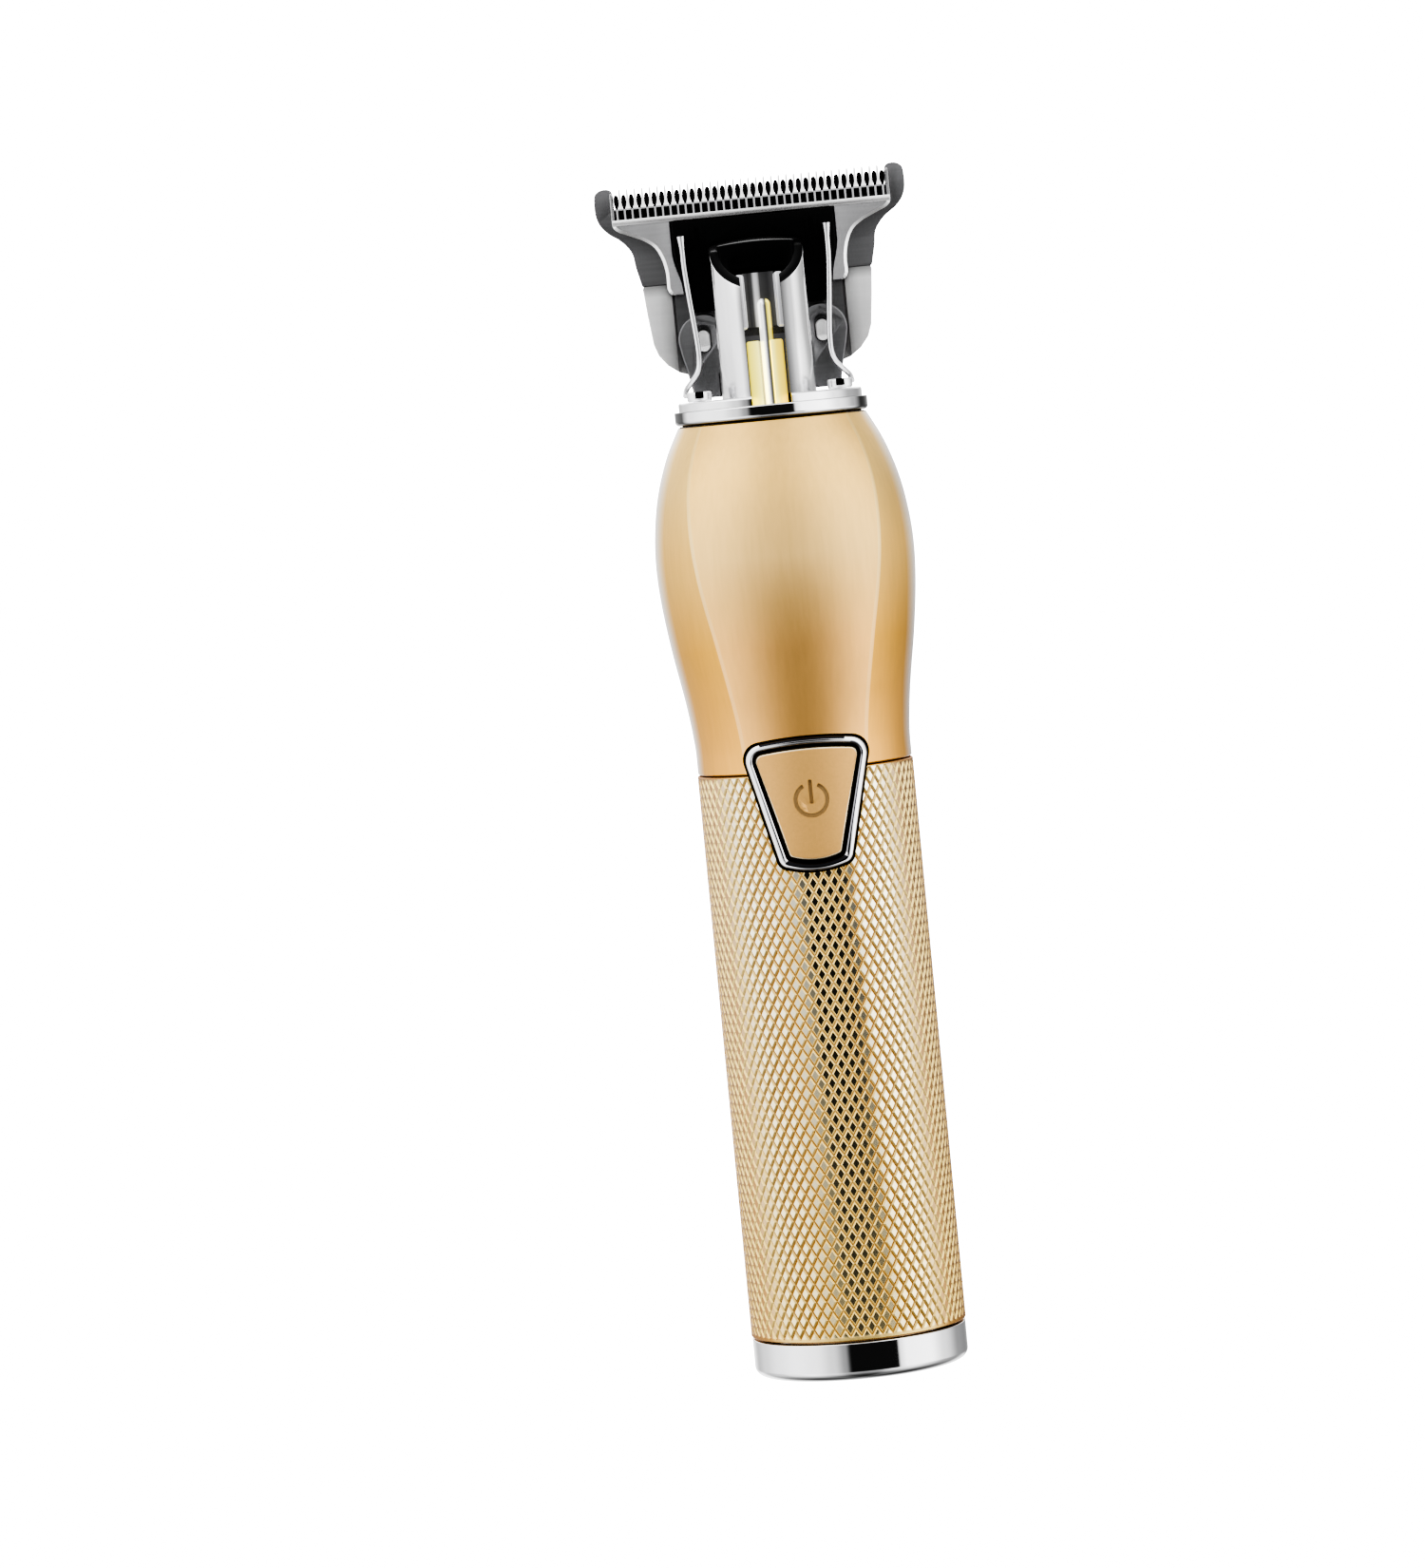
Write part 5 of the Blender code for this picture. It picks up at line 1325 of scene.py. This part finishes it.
yoke = make("yoke_body", plate(mirror(YOKE), 4.62, 6.48), "yoke", "cutter",
            "drive_yoke", sharp=30)
for side, hand in SIDES:
    prong = make(f"fork_prong_{hand}",
                 brick((2.0 * side, 3.2 * side), (-1.7, 5.3), (140.05, 147.4)),
                 "fork_grey", "cutter", sharp=30)
    bevel(prong, width=0.42, segments=4, angle=50)
    for i, x in enumerate(YOKE_RIB_X):
        fuse(yoke, tool(f"rib_form_{side}_{i}", brick(
            ((x - YOKE_RIB_HALF) * side, (x + YOKE_RIB_HALF) * side), (4.3, 4.9),
            (151.6, 154.5))))
bevel(yoke, width=0.14, segments=2, angle=40)
make("fork_web", brick((-2.1, 2.1), (4.36, 4.63), (140.3, 147.6)), "fork_web", "cutter")

# ================================================================== spring wires
WIRE_R, WIRE_END_EXTRA = 0.36, 0.16       # radius, and what the upper end adds to it
# right wire, from its upper end: (x, y, z)
WIRE_PATH = [(9.80, 3.92, 153.35), (9.74, 3.95, 151.2), (9.70, 3.95, 149.0),
             (9.38, 3.95, 144.8), (9.04, 3.95, 140.9), (8.86, 3.92, 138.2),
             (8.90, 3.86, 136.2), (9.30, 3.6, 134.9), (10.2, 3.0, 133.75),
             (11.0, 1.95, 132.8), (11.2, 0.8, 131.95)]
for side, hand in SIDES:
    path = spline([(x * side, y, z) for x, y, z in WIRE_PATH], 6)
    radii = [WIRE_R + WIRE_END_EXTRA * max(0.0, 1 - k / 5) for k in range(len(path))]
    make(f"spring_wire_{hand}_bent", tube(path, radii, 14), "steel_wire", "handle",
         f"spring_wire_{hand}", sharp=60)

# ================================================================== studio world
TOP_LEVEL = 4.0     # ramps hold 0..1, so levels are given as shares of this
# brightness round the studio: (degrees from the front, positive to +X; level)
LOW_BAND = [(-180, 2.0), (-160, 1.6), (-130, 0.6), (-105, 0.7), (-85, 1.1), (-60, 1.5),
            (-35, 1.0), (-15, 0.42), (0, 0.36), (15, 0.42), (35, 1.0), (60, 1.4),
            (85, 0.9), (105, 0.5), (130, 0.42), (160, 1.4), (180, 2.0)]
MID_BAND = [(-180, 1.2), (-160, 0.6), (-140, 0.8), (-116, 1.05), (-88, 1.3), (-65, 1.25),
            (-45, 0.8), (-32, 0.35), (-25, 0.02), (25, 0.02), (29, 1.2), (36, 1.7),
            (65, 1.9), (88, 1.1), (116, 0.42), (140, 0.34), (165, 0.6), (180, 1.2)]
HIGH_BAND = [(-180, 2.2), (-160, 1.8), (-130, 0.9), (-105, 1.1), (-85, 1.5), (-60, 1.9),
             (-30, 1.6), (-10, 0.95), (0, 0.85), (10, 0.95), (30, 1.5), (60, 1.75),
             (85, 1.3), (105, 0.65), (130, 0.6), (160, 1.5), (180, 2.2)]
# (elevation in degrees, share): where the bands hand over, and the overall dimming
MID_TO_HIGH = [(4, 0.0), (14, 1.0)]
LOW_TO_MID = [(-20, 1.0), (-11, 0.0)]
DIMMING = [(-90, 0.10), (-62, 0.16), (-46, 0.42), (-30, 0.9), (-20, 1.0), (40, 1.0),
           (60, 0.8), (90, 0.5)]
# how the dark card leans with elevation, in turns, and its limit
LEAN_RATE, LEAN_LIMIT = 3.0 / (2 * math.pi), -13.0 / 360
CAMERA_WHITE = 6.0                        # strength of the background the camera sees


def studio_world():
    """Soft studio surroundings drawn by direction: a dark card in front, bright
    walls to both sides, a light ceiling. The camera itself sees plain white."""
    world = bpy.data.worlds.new("studio")
    scene.world = world
    world.use_nodes = True
    tree = world.node_tree
    tree.nodes.clear()
    link = tree.links.new
    coord = tree.nodes.new("ShaderNodeTexCoord")
    split = tree.nodes.new("ShaderNodeSeparateXYZ")
    link(coord.outputs["Generated"], split.inputs[0])

    def maths(operation, first, second=0.0, third=None):
        made = tree.nodes.new("ShaderNodeMath")
        made.operation = operation
        for socket, value in zip(made.inputs, (first, second)):
            if isinstance(value, float):
                socket.default_value = value
            else:
                link(value, socket)
        if third is not None:
            made.inputs[2].default_value = third
        return made.outputs[0]

    # turn and height run 0..1 round and up the studio
    minus_y = maths("MULTIPLY", split.outputs["Y"], -1.0)
    angle = maths("ARCTAN2", split.outputs["X"], minus_y)
    turn = maths("MULTIPLY_ADD", angle, 1 / (2 * math.pi), 0.5)
    rise = maths("ARCSINE", split.outputs["Z"])
    height = maths("MULTIPLY_ADD", rise, 1 / math.pi, 0.5)

    # below the horizon the middle band is turned aside, so that the card leans
    tilt = maths("MULTIPLY", rise, LEAN_RATE)
    tilt = maths("MAXIMUM", maths("MINIMUM", tilt, 0.0), LEAN_LIMIT)
    lean = maths("ADD", turn, tilt)

    def around(stops, by):
        return ramp(tree, by, [((deg + 180) / 360, level / TOP_LEVEL)
                               for deg, level in stops], "EASE")

    def upwards(stops, mode="EASE"):
        return ramp(tree, height, [((deg + 90) / 180, share) for deg, share in stops], mode)

    low = around(LOW_BAND, turn)
    mid = around(MID_BAND, lean)
    high = around(HIGH_BAND, turn)
    above = mixed(tree, upwards(MID_TO_HIGH), mid, high)
    colour = mixed(tree, upwards(LOW_TO_MID), above, low)
    dimmed = mixed(tree, 1.0, colour, upwards(DIMMING, "LINEAR"), "MULTIPLY")

    shine = tree.nodes.new("ShaderNodeBackground")
    link(dimmed, shine.inputs["Color"])
    shine.inputs["Strength"].default_value = TOP_LEVEL
    plain = tree.nodes.new("ShaderNodeBackground")
    plain.inputs["Color"].default_value = (1, 1, 1, 1)
    plain.inputs["Strength"].default_value = CAMERA_WHITE
    path = tree.nodes.new("ShaderNodeLightPath")
    pick = tree.nodes.new("ShaderNodeMixShader")
    link(path.outputs["Is Camera Ray"], pick.inputs[0])
    link(shine.outputs[0], pick.inputs[1])
    link(plain.outputs[0], pick.inputs[2])
    out = tree.nodes.new("ShaderNodeOutputWorld")
    link(pick.outputs[0], out.inputs[0])


studio_world()

# ========================================================================= floor
FLOOR_R, FLOOR_Z = 6.0, -0.00002          # metres
FLOOR_GLOW = 4.6                          # light the floor shows to the camera alone


def floor_material():
    """A pale diffuse floor with a white glow that only the camera sees."""
    mat = bpy.data.materials.new("floor_pale")
    mat.use_nodes = True
    tree = mat.node_tree
    tree.nodes.clear()
    link = tree.links.new
    diffuse = tree.nodes.new("ShaderNodeBsdfDiffuse")
    grain = noise(tree, scale=40.0, detail=3.0, rough=0.5)
    link(ramp(tree, grain, [(0.3, 0.78), (0.7, 0.82)]), diffuse.inputs["Color"])
    glow = tree.nodes.new("ShaderNodeEmission")
    glow.inputs["Color"].default_value = (1, 1, 1, 1)
    glow.inputs["Strength"].default_value = FLOOR_GLOW
    path = tree.nodes.new("ShaderNodeLightPath")
    dark = tree.nodes.new("ShaderNodeEmission")
    dark.inputs["Strength"].default_value = 0.0
    pick = tree.nodes.new("ShaderNodeMixShader")
    link(path.outputs["Is Camera Ray"], pick.inputs[0])
    link(dark.outputs[0], pick.inputs[1])
    link(glow.outputs[0], pick.inputs[2])
    both = tree.nodes.new("ShaderNodeAddShader")
    link(diffuse.outputs[0], both.inputs[0])
    link(pick.outputs[0], both.inputs[1])
    out = tree.nodes.new("ShaderNodeOutputMaterial")
    link(both.outputs[0], out.inputs[0])
    return mat


disc = bmesh.new()
bmesh.ops.create_circle(disc, cap_ends=True, segments=96, radius=FLOOR_R)
floor = link_mesh("floor", disc)
floor.location = (0, 0, FLOOR_Z)
floor.data.materials.append(floor_material())
floor.visible_glossy = False

# ============================================================== camera and colour
EYE = Vector((-0.0188, -0.9, 0.130))      # metres
AIM = Vector((-0.0126, 0.0, 0.0800))      # metres
ROLL = math.radians(5.51)

lens = bpy.data.cameras.new("camera")
lens.lens = 154.4
lens.sensor_width = 36.0
camera = bpy.data.objects.new("camera", lens)
scene.collection.objects.link(camera)
ahead = (AIM - EYE).normalized()
right = ahead.cross(Vector((0, 0, 1))).normalized()
up = right.cross(ahead)
rolled_right = right * math.cos(ROLL) - up * math.sin(ROLL)
rolled_up = up * math.cos(ROLL) + right * math.sin(ROLL)
camera.matrix_world = Matrix((
    (rolled_right.x, rolled_up.x, -ahead.x, EYE.x),
    (rolled_right.y, rolled_up.y, -ahead.y, EYE.y),
    (rolled_right.z, rolled_up.z, -ahead.z, EYE.z),
    (0, 0, 0, 1)))
scene.camera = camera

scene.view_settings.view_transform = "AgX"
scene.view_settings.look = "AgX - Very High Contrast"
scene.view_settings.exposure = 0.0
scene.view_settings.gamma = 1.0
